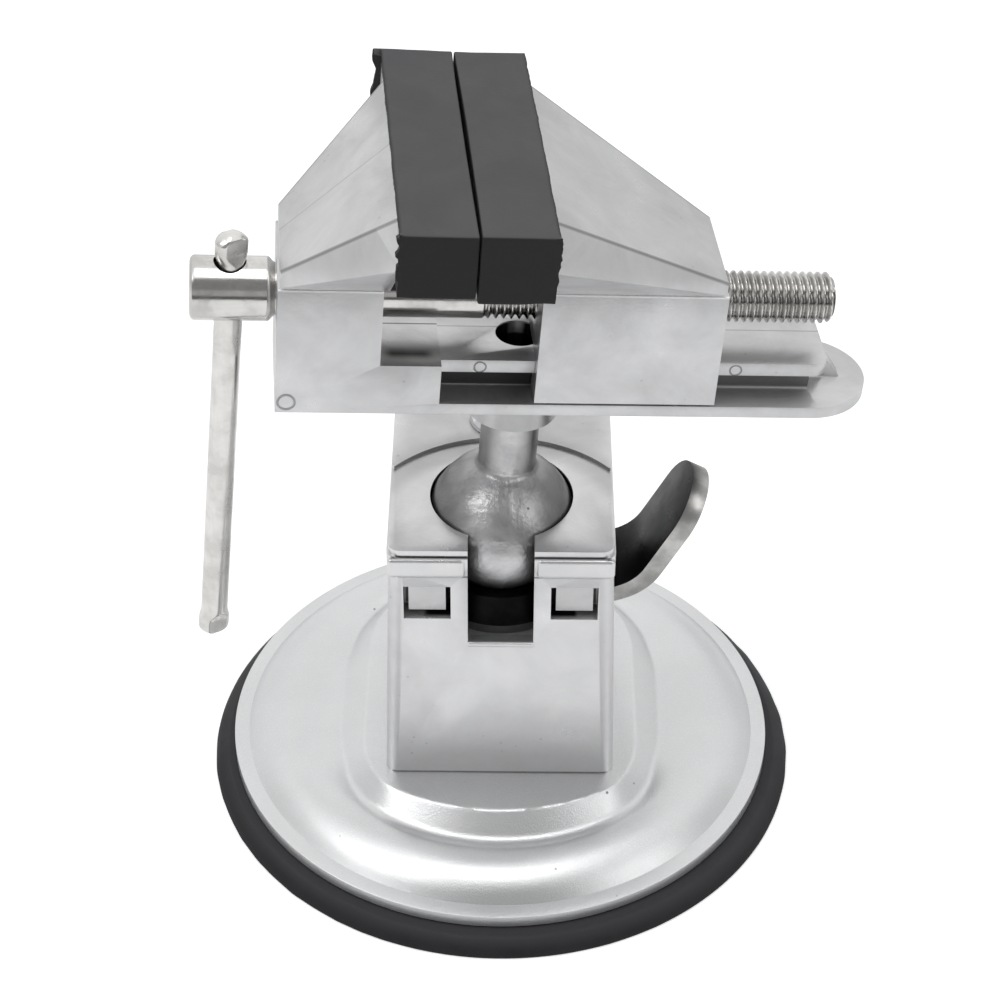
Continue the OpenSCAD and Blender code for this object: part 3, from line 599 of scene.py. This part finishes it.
def waves(points, seed, size, count=7):
    # smooth unevenness: a sum of sine waves in random directions, about one high
    rng = np.random.default_rng(seed)
    total = np.zeros(points.shape[:-1])
    for _ in range(count):
        way = rng.normal(size=3)
        way /= np.linalg.norm(way)
        total += np.sin(points @ way * (2 * np.pi / (size * rng.uniform(0.6, 1.6))) + rng.uniform(0, 6.3))
    return total / count ** 0.5


def softenedCopy(node, name, material, body, values):
    # the CAD solid with its doubles merged, flat faces joined up and every sharp edge given a small round
    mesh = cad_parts[node].data.copy()
    mendMesh(mesh, 3e-6, flat=0.6)
    blank = addObject(name, mesh)
    bevel = blank.modifiers.new("edges", "BEVEL")
    bevel.width = values["edge"] / 1000
    bevel.segments = values["edgeSteps"]
    bevel.limit_method = "ANGLE"
    bevel.angle_limit = math.radians(values["edgeFrom"])
    bevel.miter_outer = "MITER_ARC"
    bevel.use_clamp_overlap = True
    piece = placeMesh(shapedMesh(blank), name, material, body, 38, merge=False)
    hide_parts(node)


plate = {
    "hole": 3.4, "ringTop": 11.5, "sheet": 1.6, "rim": 58.1, "hemFoot": 3.5, "hemRound": 0.3, "around": 360,
    "crownFrom": 44.2, "crown": 14.0, "wall": 47.0, "lipTop": 6.65, "lipTilt": 0.2, "lipRound": 0.15,
    "platformTop": 14.8, "halfWidth": 29.0, "frontRadius": 44.0, "frontShift": 8.0, "corner": 7.0,
    "turnWidth": 6.0, "slope": 0.84, "sideStretch": 0.72, "sideSoft": 0.3, "edgeSoft": 0.16, "footSoft": 2.4,
    "dish": 3.0, "dishWidth": 6.0, "dishFrom": 0.45, "wave": 0.03, "waveSize": 42, "waveTo": 50, "waveFade": 10,
    "overSteps": 112, "underSteps": 34,
}


def blendMax(a, b, soft):
    # the larger of two heights, with a round of size soft where they meet
    share = np.clip(0.5 + 0.5 * (a - b) / soft, 0, 1)
    return b * (1 - share) + a * share + soft * share * (1 - share)


def platformHeight(x, y, values):
    # distance from a round-cornered outline of two straight sides and two arcs, turned into a sloping wall;
    # the side walls are less steep than the front and back ones
    c = values["corner"]
    a = np.abs(x) - values["halfWidth"] + c
    b = np.hypot(x, np.abs(y) + values["frontShift"]) - values["frontRadius"] + c
    turn = eased((b - c) / values["turnWidth"])
    a = np.where(a > c, c + (a - c) * (values["sideStretch"] + (1 - values["sideStretch"]) * turn), a)
    inside = np.maximum(a, b)
    d = np.where((a > 0) & (b > 0), np.hypot(np.maximum(a, 0), np.maximum(b, 0)), inside) - c
    top = values["platformTop"]
    return -blendMax(-(top + 0 * d), -(top - values["slope"] * d), values["edgeSoft"])


def plateProfile(values, sink, steps):
    # flat ring, a broad crown arc and a straight wall down to the lip; sink shifts it inside the sheet
    r, z, steep = values["crown"] - sink, values["ringTop"] - sink, math.radians(values["wall"])
    flat = np.stack([np.linspace(values["hole"], values["crownFrom"], steps), np.full(steps, z)], -1)
    crown = arcPoints(values["crownFrom"], z - r, r, 90, values["wall"], 14)[1:]
    drop = crown[-1, 1] - (values["lipTop"] - sink)
    foot = crown[-1] + np.array([drop * math.tan(steep), -drop])
    share = np.array([[0.3], [0.6], [0.9]])
    return np.vstack([flat, crown, crown[-1] + share * (foot - crown[-1]), [foot]])


def plateSurface(values):
    outer, foot, curl, low = values["rim"], values["hemFoot"], values["hemRound"], values["lipRound"]
    inner = outer - values["sheet"]
    over = plateProfile(values, 0, values["overSteps"])
    lip = arcPoints(outer - low, values["lipTop"] - values["lipTilt"] - low, low, 82, 0, 4)
    hem = [[outer, foot + curl], [outer - curl, foot], [inner + 0.2, foot], [inner, foot + curl],
           [inner, values["lipTop"] - values["sheet"]]]
    under = plateProfile(values, values["sheet"], values["underSteps"])[::-1]
    points = revolved(np.vstack([over, lip, hem, under]), values["around"])
    outside = np.zeros(len(over) + len(lip) + len(hem))
    sinks = np.concatenate([outside, np.full(len(under), values["sheet"])])[:, None]
    lift = platformHeight(points[..., 0], points[..., 1], values) - sinks
    # at the front and back the ring dips and meets the platform with a wide round; at the sides it stays flat
    far = np.hypot(points[..., 0], points[..., 1])
    ends = eased((np.abs(points[..., 1]) / far - values["dishFrom"]) / values["dishFrom"])
    rise = eased((far - values["crownFrom"] + values["dishWidth"]) / values["dishWidth"])
    points[..., 2] -= values["dish"] * ends * (1 - rise)
    soft = values["sideSoft"] + (values["footSoft"] - values["sideSoft"]) * ends
    onRing = far < values["crownFrom"] - 0.05
    points[..., 2] = np.where(onRing, blendMax(points[..., 2], lift, soft), points[..., 2])
    fade = np.clip((values["waveTo"] - far) / values["waveFade"], 0, 1)
    points[..., 2] += values["wave"] * waves(points, 3, values["waveSize"]) * fade
    return points


plateMesh = gridMesh(plateSurface(plate), closeU=True)
basePlate = placeMesh(plateMesh, "basePlate", makePaint(), "base", 28)
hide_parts("base_plate")
print("base plate made")


cup = {
    "shift": (0.3, -0.9), "radius": 62.7, "skirtTop": 3.4, "around": 256,
    "wave": 0.05, "waveSize": 9, "waveFrom": 58,
}


def cupSurface(values):
    # foot, thin outer edge, long slope, flat skirt, step up under the plate, and a shallow dish inside
    r, top = values["radius"], values["skirtTop"]
    rows = [[0.001, 0], [30, 0], [55, 0], [r - 0.7, 0]]
    rows += list(arcPoints(r - 0.5, 0.5, 0.5, -80, 30, 5))
    rows += [[r - 1.2, 2.15], [r - 2.3, 3.05]]
    rows += list(arcPoints(r - 3.1, top - 0.55, 0.55, 60, 100, 3))
    rows += [[57.6, top], [55.8, top - 0.1], [55.5, 4.7], [49.1, 4.75], [45.1, 3.6], [21.0, 3.6],
             [20.1, 3.4], [20.1, 3.0], [0.001, 3.0]]
    points = revolved(rows, values["around"])
    rim = (points[..., 2] > 0.3) & (np.hypot(points[..., 0], points[..., 1]) > values["waveFrom"])
    points += (values["wave"] * waves(points, 5, values["waveSize"]) * rim)[..., None]
    points[..., :2] += values["shift"]
    points[..., 2] = np.maximum(points[..., 2], 0)
    return points


cupRubber = makeRubber("cupRubber", (0.016, 0.016, 0.018), (0.026, 0.026, 0.028), (0.05, 0.05, 0.053))
cupPiece = placeMesh(gridMesh(cupSurface(cup)), "suctionCup", cupRubber, "base", 60)
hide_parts("suction_cup")
print("suction cup made")


ball = {
    "radius": 15.0, "stem": 5.75, "stemTop": 32.35, "neckRound": 1.6, "around": 144,
    "ridge": 0.16, "ridgeWidth": 0.55, "ridgeAt": -0.1, "sink": 0.09, "highest": 0.03,
}


def ballSurface(values):
    # a sphere, a small concave neck and an upright stem; a low ridge stands on the parting line
    r, s, f, top = values["radius"], values["stem"], values["neckRound"], values["stemTop"]
    high = math.sqrt((r + f) ** 2 - (s + f) ** 2)   # height of the neck round's middle
    stop = math.degrees(math.atan2(high, s + f))
    sphere = arcPoints(0, 0, r, -90, stop, 60)
    sphere[0, 0] = 0.001
    neck = arcPoints(s + f, high, f, stop + 180, 180, 6)[1:]
    stem = [[s, 20], [s, 26], [s, top - 0.5], [s - 0.5, top], [0.001, top]]
    points = revolved(np.vstack([sphere, neck, stem]), values["around"])
    way = points / np.maximum(np.linalg.norm(points, axis=-1, keepdims=True), 1e-6)
    onBall = (points[..., 2] < high)[..., None]
    lumps = 0.05 * waves(points, 11, 4.0, 9) + 0.07 * waves(points, 12, 11.0)
    ridge = np.exp(-((points[..., 0] - values["ridgeAt"]) / values["ridgeWidth"]) ** 2) * values["ridge"]
    rise = np.clip(lumps + (ridge - values["sink"]), -0.3, values["highest"])
    return fromHead(points + way * rise[..., None] * onBall)


stud = placeMesh(gridMesh(ballSurface(ball)), "ballStud", makeRawCast(), "ball", 60)
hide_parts("ball_stud")
print("ball stud made")


worldAxes = ((1, 0, 0), (0, 1, 0), (0, 0, 1))
bedAxes = tuple(headWay(v) for v in worldAxes)
bedUnder = 34.0     # height of the bed's underside over the ball's middle


def bedPoint(x, y, z):
    # a point in the bed's frame, whose origin is on its underside
    return headMetres((x, y, z + bedUnder))


def bedLine(a, b, width, depth):
    return bedPoint(*a), headWay(np.subtract(b, a)), width, depth


def bedShadeBox(low, high, soft, depth):
    low, high = np.array(low, float), np.array(high, float)
    return bedPoint(*(low + high) / 2), tuple((high - low) / 2000), soft, depth, bedAxes


def baseShadeBox(low, high, soft, depth):
    low, high = np.array(low, float), np.array(high, float)
    return tuple((low + high) / 2000), tuple((high - low) / 2000), soft, depth, worldAxes


def flareShadeLines(out, plateEnd, roof):
    # lines of painted shade along the creases between a jaw's roof, its flanks and the faces under them
    lines = []
    for side in (-1, 1):
        lines.append(bedLine((out, side * 12.05, roof), (plateEnd, side * 26, 51), 0.00065, 0.62))
        lines.append(bedLine((out, side * 12.05, 27.2), (plateEnd, side * 33, 44.3), 0.00025, 0.25))
    return lines


# edge is the size of the rounds, on edges sharper than edgeFrom degrees;
# lines and rings: start, direction, width and depth; hollows: two corners, softness and depth; lines are
# painted shade, glints painted highlights, rings ejector marks or a painted shade ring, hollows boxes of
# painted shade
# painted shade in the gap between the block and the cover, on both castings
gapShadeLine = ((0, -0.0243, 0.0733), (1, 0, 0), 0.0005, 0.9)
block = {
    "edge": 0.35, "edgeSteps": 2, "edgeFrom": 32,
    "tones": dict(castTones, bright=(0.76, 0.76, 0.765), dull=(0.66, 0.66, 0.665)),
    "lines": [
        gapShadeLine,
        # painted shade where the block stands on the plate, and under the lip strips
        ((0, -0.0251, 0.0148), (1, 0, 0), 0.0005, 0.85),
        ((0, -0.0243, 0.0683), (1, 0, 0), 0.00035, 0.75),
    ],
    # painted shade in the two front windows and in the slot behind the ball
    "hollows": [
        baseShadeBox((-19.45, -23.9, 57.3), (-9.95, -15, 65.8), 0.0004, 0.85),
        baseShadeBox((9.95, -23.9, 57.3), (19.45, -15, 65.8), 0.0004, 0.85),
        baseShadeBox((-15.6, -23.9, 52.2), (15.6, 12, 73.0), 0.001, 0.97),
    ],
}
cover = {
    "edge": 0.5, "edgeSteps": 3, "edgeFrom": 28,
    "tones": dict(castTones, bright=(0.77, 0.77, 0.775), dull=(0.62, 0.62, 0.625)),
    "lines": [gapShadeLine],
    # a painted shade ring around the arch of the top step, with a slight bump
    "rings": [((0, -0.0178, 0), (0, 0, 1), 0.0325, 0.3)],
    # painted shade deep in the ball's opening and, lighter, over the cover's front and rear
    "hollows": [
        baseShadeBox((-15.1, -21.5, 60), (15.1, 8.7, 74.6), 0.0004, 0.7),
        baseShadeBox((-24, -25.5, 50), (24, -15, 68), 0.0005, 0.22),
        baseShadeBox((-24, 3, 70), (24, 27, 82), 0.006, 0.2),
    ],
}
bedFront = headWay((0, -1, 0))
bed = {
    "edge": 0.35, "edgeSteps": 2, "edgeFrom": 32,
    "tones": castTones,
    "lines": flareShadeLines(-46.35, -26.2, 31) + [
        # painted shade along the roof's parting line and along the rail's recess
        bedLine((-46.35, 2.6, 31), (-27.2, 1.2, 50), 0.0003, 0.3),
        bedLine((-27.2, 2.2, 10.9), (-16, 2.2, 10.9), 0.0003, 0.95),
        bedLine((-16, 2.2, 10.5), (5, 2.2, 10.5), 0.00025, 0.5),
    ],
    # a painted highlight along the top edge of the face under the flare
    "glints": [bedLine((-46.8, -12.35, 27.15), (-27.3, -12.35, 27.15), 0.0005, 0.9)],
    "rings": [
        (bedPoint(-44.69, -12.5, 2.41), bedFront, 0.0019, 0.8),
        (bedPoint(-8.11, -9.6, 8.99), bedFront, 0.0013, 0.9),
        (bedPoint(41.19, -9.6, 8.97), bedFront, 0.0013, 0.9),
    ],
    # painted shade under the jaws, along the rail, below the bed and in the pivot hole
    "hollows": [
        bedShadeBox((-15.9, -11.9, 2.3), (3.2, 11.9, 8.0), 0.0005, 0.9),
        bedShadeBox((2.0, -9.7, 2.5), (61, 9.7, 8.0), 0.0006, 0.75),
        bedShadeBox((-27.4, -11, 9.2), (2.5, -4.5, 18), 0.003, 0.55),
        bedShadeBox((-27.4, -10.7, 7.5), (-16.2, -5.8, 18), 0.0028, 0.85),
        bedShadeBox((2, -9.5, 8), (63, 9.5, 9.2), 0.0008, 0.25),
        bedShadeBox((-12, -12, -8), (12, 12, -0.2), 0.0005, 0.2),
        bedShadeBox((-4.4, -4.4, 1), (4.4, 4.4, 10.3), 0.0003, 0.97),
    ],
}
jaw = {
    "edge": 0.35, "edgeSteps": 2, "edgeFrom": 32,
    "tones": castTones,
    "lines": flareShadeLines(36.85, 0.5, 30),
    # a painted highlight along the top edge of the face under the flare
    "glints": [bedLine((2.4, -12.35, 27.15), (37.3, -12.35, 27.15), 0.0005, 0.9)],
}
castBlock = makeCastAlloy("castBlock", block)
softenedCopy("housing", "blockCasting", castBlock, "base", block)
softenedCopy("clamp_cover", "coverCasting", makeCastAlloy("castCover", cover), "base", cover)
softenedCopy("vise_bed", "bedCasting", makeCastAlloy("castBed", bed), "bed", bed)
softenedCopy("moving_jaw", "jawCasting", makeCastAlloy("castJaw", jaw), "slider", jaw)


lip = {"inner": 7.1, "outer": 22.5, "low": 68.4, "high": 73.0, "front": -25.05, "back": -23.3, "round": 0.9}
sill = {"inner": -6.9, "outer": 6.9, "low": 49.9, "high": 51.25, "front": -24.85, "back": -22.0, "round": 0.6}


def signedPower(value, power):
    return np.sign(value) * np.abs(value) ** power


def lipStrip(values, side):
    # a bar with a superellipse section that tapers to round ends, carried along X on the block's front
    x0, x1, r = values["inner"], values["outer"], values["round"]
    t = np.linspace(0, np.pi, 13)
    straight = np.linspace(x0 + 2 * r, x1 - 2 * r, 24)
    x = np.concatenate([x0 + r - r * np.cos(t[:7]), straight, x1 - r - r * np.cos(t[6:])])
    inset = r * (1 - np.sqrt(1 - (1 - np.minimum(x - x0, x1 - x) / r).clip(0, 1) ** 2))[:, None]
    angle = np.linspace(0, 2 * np.pi, 40, endpoint=False)
    halfZ, halfY = (values["high"] - values["low"]) / 2, (values["back"] - values["front"]) / 2
    z = (values["low"] + values["high"]) / 2 + (halfZ - inset) * signedPower(np.cos(angle), 0.45)
    y = (values["front"] + values["back"]) / 2 + (halfY - inset * 0.9) * signedPower(np.sin(angle), 0.6)
    points = np.stack([side * (x[:, None] + 0 * angle), y, z], -1)
    middle = points.mean(1, keepdims=True)
    caps = middle + 0.0001 * (points - middle)
    return np.concatenate([caps[:1], points, caps[-1:]])


for side, values, name in ((-1, lip, "lipStripLeft"), (1, lip, "lipStripRight"), (1, sill, "slotSill")):
    placeMesh(gridMesh(lipStrip(values, side)), name, castBlock, "base", 50)
print("castings made")


boot = {
    "halfLength": 35.0, "halfHeight": 6.0, "middle": 80.8, "edge": 0.4, "corner": 0.6, "wall": 1.7, "bow": 0.22,
    # unevenness: a seed counted from the cover's own, height and size of each wave
    "swell": ((0, 0.1, 26), (1, 0.03, 7)),
    "ragged": ((2, 0.04, 9), (3, 0.03, 2.2), (4, 0.025, 0.8)),
    "torn": ((5, 0.35, 2.6), (7, 0.3, 0.9)),
    "rear": ((6, 0.3, 5.0),),
    "flash": 0.7,
}
# sag is how far the front end hangs below the jaw, flap how far the rear end's rim is drawn out
fixedBoot = dict(boot, back=-26.8, front=-13.0, seed=21, sag=0.9, flap=1.6)
movingBoot = dict(boot, back=1.1, front=-12.7, seed=31, sag=1.9, flap=0.0)


def uneven(points, seed, rows):
    return sum(height * waves(points, seed + step, size) for step, height, size in rows)


def bootSection(inset, values):
    # a round-cornered rectangle pulled in by inset, as one closed ring of points across and up
    r = max(values["corner"] - inset, 0.005)
    a, b = values["halfLength"] - inset - r, max(values["halfHeight"] - inset - r, 0.0)
    corners = [(a, b), (-a, b), (-a, -b), (a, -b)]
    pieces = []
    for k, (cx, cy) in enumerate(corners):
        pieces.append(arcPoints(cx, cy, r, 90 * k, 90 * k + 90, 8))
        steps = 22 if k % 2 else 110
        turn = math.radians(90 * k + 90)
        last = np.array(corners[(k + 1) % 4]) + r * np.array([math.cos(turn), math.sin(turn)])
        share = np.linspace(0, 1, steps + 2)[1:-1, None]
        pieces.append(pieces[-1][-1] * (1 - share) + last * share)
    return np.vstack(pieces)


def bootSurface(values):
    # walls from the open back to a rounded front edge, then a flat front that shrinks to its middle line
    back, front, seed, e = values["back"], values["front"], values["seed"], values["edge"]
    way = np.sign(front - back)
    rows = [(x, 0.0) for x in np.linspace(back, front - way * e, 14)]
    bend = np.radians(np.linspace(0, 90, 7)[1:])
    rows += [(front - way * e * (1 - math.sin(t)), e * (1 - math.cos(t))) for t in bend]
    rows += [(front, d) for d in np.linspace(e, values["halfHeight"] - 0.005, 6)[1:]]
    rings = [(x, bootSection(inset, values)) for x, inset in rows]
    points = np.array([np.stack([np.full(len(ring), x), ring[:, 0], ring[:, 1] + values["middle"]], -1)
                       for x, ring in rings])
    y, z = points[..., 1], points[..., 2] - values["middle"]
    depth = np.abs(points[..., 0] - back)
    inward = np.clip(uneven(points, seed, values["swell"]) - 0.1, -0.3, 0.0)
    points[..., 1] += inward * np.sign(y) * (np.abs(y) > values["halfLength"] - 2.2)
    points[..., 2] += inward * np.sign(z) * (np.abs(z) > values["halfHeight"] - 2.2)
    # the rim at the open back is ragged, with torn flash at the front end and a flap at the rear end
    ragged = uneven(points, seed, values["ragged"])
    torn = uneven(points, seed, values["torn"]) + 0.25
    flash = values["flash"] * torn.clip(0, 1) * (y < -34.6) * (z > -3)
    flap = values["flap"] * (uneven(points, seed, values["rear"]) + 0.8).clip(0, 1) * (y > 34.5)
    rim = np.exp(-depth / 0.7) * ragged.clip(-0.2, 0.3)
    points[..., 0] += way * (rim - np.exp(-depth / 0.5) * (flash + flap))
    onFront = depth > abs(front - back) - e - 0.01
    points[..., 0] -= way * values["bow"] * (1 - (y / values["halfLength"]) ** 2) * onFront
    low = np.clip((-y - 24) / 11, 0, 1) * (z < 0)
    points[..., 2] -= low * values["sag"] * np.clip(-z / values["halfHeight"], 0, 1)
    return points


def makeBoot(name, values, body, node):
    mesh = gridMesh(fromHead(bootSurface(values)))
    mendMesh(mesh, 3e-5, thin=1e-6, outward=True)
    # an open shell has no inside of its own, so its faces are turned to look away from its middle
    middle = np.mean([v.co[:] for v in mesh.vertices], axis=0)
    if sum(np.dot(np.subtract(f.center, middle), f.normal) * f.area for f in mesh.polygons) < 0:
        mesh.flip_normals()
    piece = placeMesh(mesh, name, jawRubber, body, 50, merge=False)
    wall = piece.modifiers.new("wall", "SOLIDIFY")
    wall.thickness = values["wall"] / 1000
    wall.offset = -1
    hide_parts(node)


jawRubber = makeRubber("jawRubber", (0.02, 0.02, 0.021), (0.027, 0.027, 0.028), (0.105, 0.105, 0.108))
makeBoot("fixedJawBoot", fixedBoot, "bed", "fixed_jaw_cover")
makeBoot("movingJawBoot", movingBoot, "slider", "moving_jaw_cover")
print("jaw covers made")


spindle = {
    "axisHeight": 53.7, "radius": 5.0, "threadFrom": -7.8, "threadTo": 60.1, "pitch": 1.5, "depth": 0.8,
    "flank": 1.45, "crest": 0.18, "grooveFrom": -38.6, "grooveTo": -35.5, "grooveDepth": 1.4,
    "headRadius": 6.2, "headFrom": -63.0, "headTo": -47.9, "barAt": -55.45, "barHole": 3.1, "barSwing": 2.2,
    "around": 64,
}


def spindleSurface(values):
    # a turned profile from the barrel head to the tip; along the thread a valley climbs one pitch a turn
    hr, r, h0, h1 = values["headRadius"], values["radius"], values["headFrom"], values["headTo"]
    g0, g1, deep = values["grooveFrom"], values["grooveTo"], r - values["grooveDepth"]
    t0, t1 = values["threadFrom"], values["threadTo"]
    rows = [[h0, 0.001], [h0, hr - 1.2], [h0 + 0.15, hr - 0.55], [h0 + 0.55, hr - 0.12], [h0 + 1.0, hr]]
    rows += [[x, hr] for x in np.linspace(h0 + 1.6, h1 - 1.1, 22)]
    rows += [[h1 - 0.7, hr], [h1 - 0.3, hr - 0.08], [h1, hr - 0.35], [h1 + 0.5, r + 0.3], [h1 + 0.95, r]]
    rows += [[g0 - 0.15, r], [g0, r - 0.15], [g0, deep], [g1, deep], [g1, r - 0.15], [g1 + 0.15, r]]
    rows += [[x, r] for x in np.linspace(-30, t0 - 0.5, 8)]
    rows += [[x, r] for x in np.arange(t0, t1 - 1.0, values["pitch"] / 14)]
    rows += [[t1 - 0.9, r], [t1 - 0.45, r - 0.35], [t1 - 0.1, r - 0.8], [t1, r - 1.3], [t1, 0.001]]
    rows = np.array(rows)
    angle = np.linspace(0, 2 * np.pi, values["around"], endpoint=False)
    x, radius = rows[:, :1] + 0 * angle, rows[:, 1:] + 0 * angle
    phase = (x / values["pitch"] - angle / (2 * np.pi)) % 1.0
    valley = np.clip(values["flank"] * (1 - 2 * np.abs(phase - 0.5)) - values["crest"], 0, 1)
    fade = np.clip((x - t0) / 1.2, 0, 1) * (radius > r - 0.9) * (x < t1)
    radius = radius - values["depth"] * valley * fade
    return np.stack([x, radius * np.cos(angle), radius * np.sin(angle) + values["axisHeight"]], -1)


def drillBar(mesh, values):
    # the cross hole through the head, cut with a plain round tool
    reach = 9
    rows = [[0.001, -reach], [values["barHole"], -reach], [values["barHole"], reach], [0.001, reach]]
    tool = revolved(rows, 48) @ turnMatrix("x", values["barSwing"]).T
    tool += np.array([values["barAt"], 0, values["axisHeight"]])
    cutter = addObject("barHoleTool", gridMesh(fromHead(tool)))
    target = addObject("spindleBlank", mesh)
    for thing in (cutter, target):
        mendMesh(thing.data, 3e-6, outward=True)
    cut = target.modifiers.new("hole", "BOOLEAN")
    cut.operation = "DIFFERENCE"
    cut.solver = "EXACT"
    cut.object = cutter
    result = shapedMesh(target)
    bpy.data.objects.remove(cutter)
    return result


# painted shade along the thread's roots
threadRootShade = (headMetres((0, 0, spindle["axisHeight"])), headWay((1, 0, 0)), 0.00494,
               (0.08, 0.075, 0.07), 0.35)
spindleSteel = makeZinc("spindleZinc", (0.72, 0.71, 0.69), (0.54, 0.53, 0.515), 0.15, (60, 1400, 1400),
                        valley=threadRootShade)
spindleMesh = drillBar(gridMesh(fromHead(spindleSurface(spindle))), spindle)
spindlePiece = placeMesh(spindleMesh, "leadScrew", spindleSteel, "screw", 32, outward=False)
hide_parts("lead_screw")
print("lead screw made")


tommy = {
    "radius": 2.7, "length": 98.6, "top": 12.4, "lean": 1.6, "swing": 2.2, "around": 48,
    "flatHalf": 1.9, "flatTurn": 30.0, "tip": 0.7, "pinchHalf": 3.25, "pinchLength": 5.9, "pinchFade": 2.6,
}


def tommySurface(values):
    # a round bar; near each end its width grows while two flats press in, and the end follows a half coin
    half, r, flat, tip = values["length"] / 2, values["radius"], values["flatHalf"], values["tip"]
    pinched, long = values["pinchHalf"], values["pinchLength"]
    e = 1 - np.cos(np.linspace(0, np.pi / 2, 9))
    s = np.concatenate([[0.0], 0.25 * e[1:], np.linspace(0.3, long + 3, 26), np.linspace(long + 5, half, 12)])
    coin = pinched + 0.6
    t = eased((long + 0.6 - s) / values["pinchFade"])
    coinWide = np.sqrt(np.clip(coin ** 2 - np.clip(coin - s, 0, None) ** 2, 0, None))
    wide = np.minimum(r + (pinched - r) * t, np.maximum(coinWide, 0.001))
    tipThick = np.sqrt(np.clip(s, 0, tip) / tip) * flat + (s > tip) * 9
    thick = np.minimum(r + (flat - r) * t, np.maximum(tipThick, 0.001))[:, None]
    angle = np.linspace(0, 2 * np.pi, values["around"], endpoint=False)
    q = wide[:, None] * np.cos(angle)
    p = np.clip(np.minimum(wide, r)[:, None] * np.sin(angle), -thick, thick)
    upper = np.stack([q, p, (half - s)[:, None] + 0 * angle], -1)
    lower = upper[::-1][1:] * np.array([1, 1, -1])
    points = np.vstack([upper, lower]) @ turnMatrix("z", values["flatTurn"]).T
    points[..., 2] += values["top"] - half
    points = points @ (turnMatrix("x", values["swing"]) @ turnMatrix("y", values["lean"])).T
    return fromHead(points + np.array([spindle["barAt"], 0, spindle["axisHeight"]]))


tommySteel = makeZinc("tommyZinc", (0.78, 0.77, 0.75), (0.62, 0.61, 0.59), 0.2, (1500, 1500, 50))
tommyPiece = placeMesh(gridMesh(tommySurface(tommy)), "tommyBar", tommySteel, "bar", 45)
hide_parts("tommy_bar")
print("tommy bar made")


bolt = {
    "middle": 17.6, "seat": 75.82, "radius": 6.8, "flange": 0.9, "high": 4.8, "shank": 2.5, "foot": 58.4,
    "around": 72,
}


def boltSurface(values):
    # shank, flat flange with a small rounded edge, and a dome that is part of a sphere
    r, s, z, flange = values["radius"], values["shank"], values["seat"], values["flange"]
    rise = values["high"] - flange
    dome = (r * r + rise * rise) / (2 * rise)
    low = z + values["high"] - dome
    start = math.degrees(math.asin((z + flange - low) / dome))
    rows = [[0.001, values["foot"]], [s, values["foot"]], [s, z]]
    rows += [[r - 0.2, z], [r, z + 0.2], [r, z + flange - 0.2]]
    rows += list(arcPoints(0, low, dome - 0.02, start, 90, 14))
    rows[-1] = [0.001, rows[-1][1]]
    points = revolved(rows, values["around"])
    points[..., 1] += values["middle"]
    return points


chrome = makeZinc("boltChrome", (0.86, 0.86, 0.87), (0.66, 0.66, 0.67), 0.09, (300, 300, 300))
boltPiece = placeMesh(gridMesh(boltSurface(bolt)), "coverBolt", chrome, "base", 35)
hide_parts("cover_bolt")

lever = {
    "edge": 0.7, "edgeSteps": 3, "edgeFrom": 32,
    "bright": (0.60, 0.595, 0.58), "dull": (0.36, 0.355, 0.345),
    # the lever's upper face is painted near black: painted shade
    "facingShade": ((-0.65, 0.0, 0.76), 0.2, 0.55, (0.014, 0.014, 0.0145), 0.98),
}
leverSteel = makeZinc("leverZinc", lever["bright"], lever["dull"], 0.3, (60, 1500, 60), facingShade=lever["facingShade"])
softenedCopy("cam_lever", "leverStrap", leverSteel, "lever", lever)
print("bolt and lever made")


innerSteel = makeZinc("innerSteel", (0.62, 0.61, 0.59), (0.38, 0.37, 0.36), 0.35, (500, 500, 500))
# the ball seat is near black: painted shade for the dark inside of the slot
seatSteel = makeZinc("seatSteel", (0.01, 0.01, 0.01), (0.005, 0.005, 0.005), 0.5, (500, 500, 500))
innerRubber = makeRubber("innerRubber", (0.03, 0.03, 0.03), (0.05, 0.05, 0.05), (0.06, 0.06, 0.06))
for name in ("cup_plate", "pull_rod", "rod_nut", "pull_yoke", "housing_screws", "ball_seat", "lever_pin",
             "lever_washers", "swivel_screw", "swivel_washer", "screw_pin", "seat_pad"):
    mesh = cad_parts[name].data
    mesh.materials.clear()
    mesh.materials.append({"seat_pad": innerRubber, "ball_seat": seatSteel}.get(name, innerSteel))
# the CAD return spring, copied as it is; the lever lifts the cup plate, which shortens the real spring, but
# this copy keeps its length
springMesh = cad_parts["return_spring"].data.copy()
springPiece = placeMesh(springMesh, "returnSpring", innerSteel, "base", 40)
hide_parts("return_spring")
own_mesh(springPiece)
print("inner parts finished")
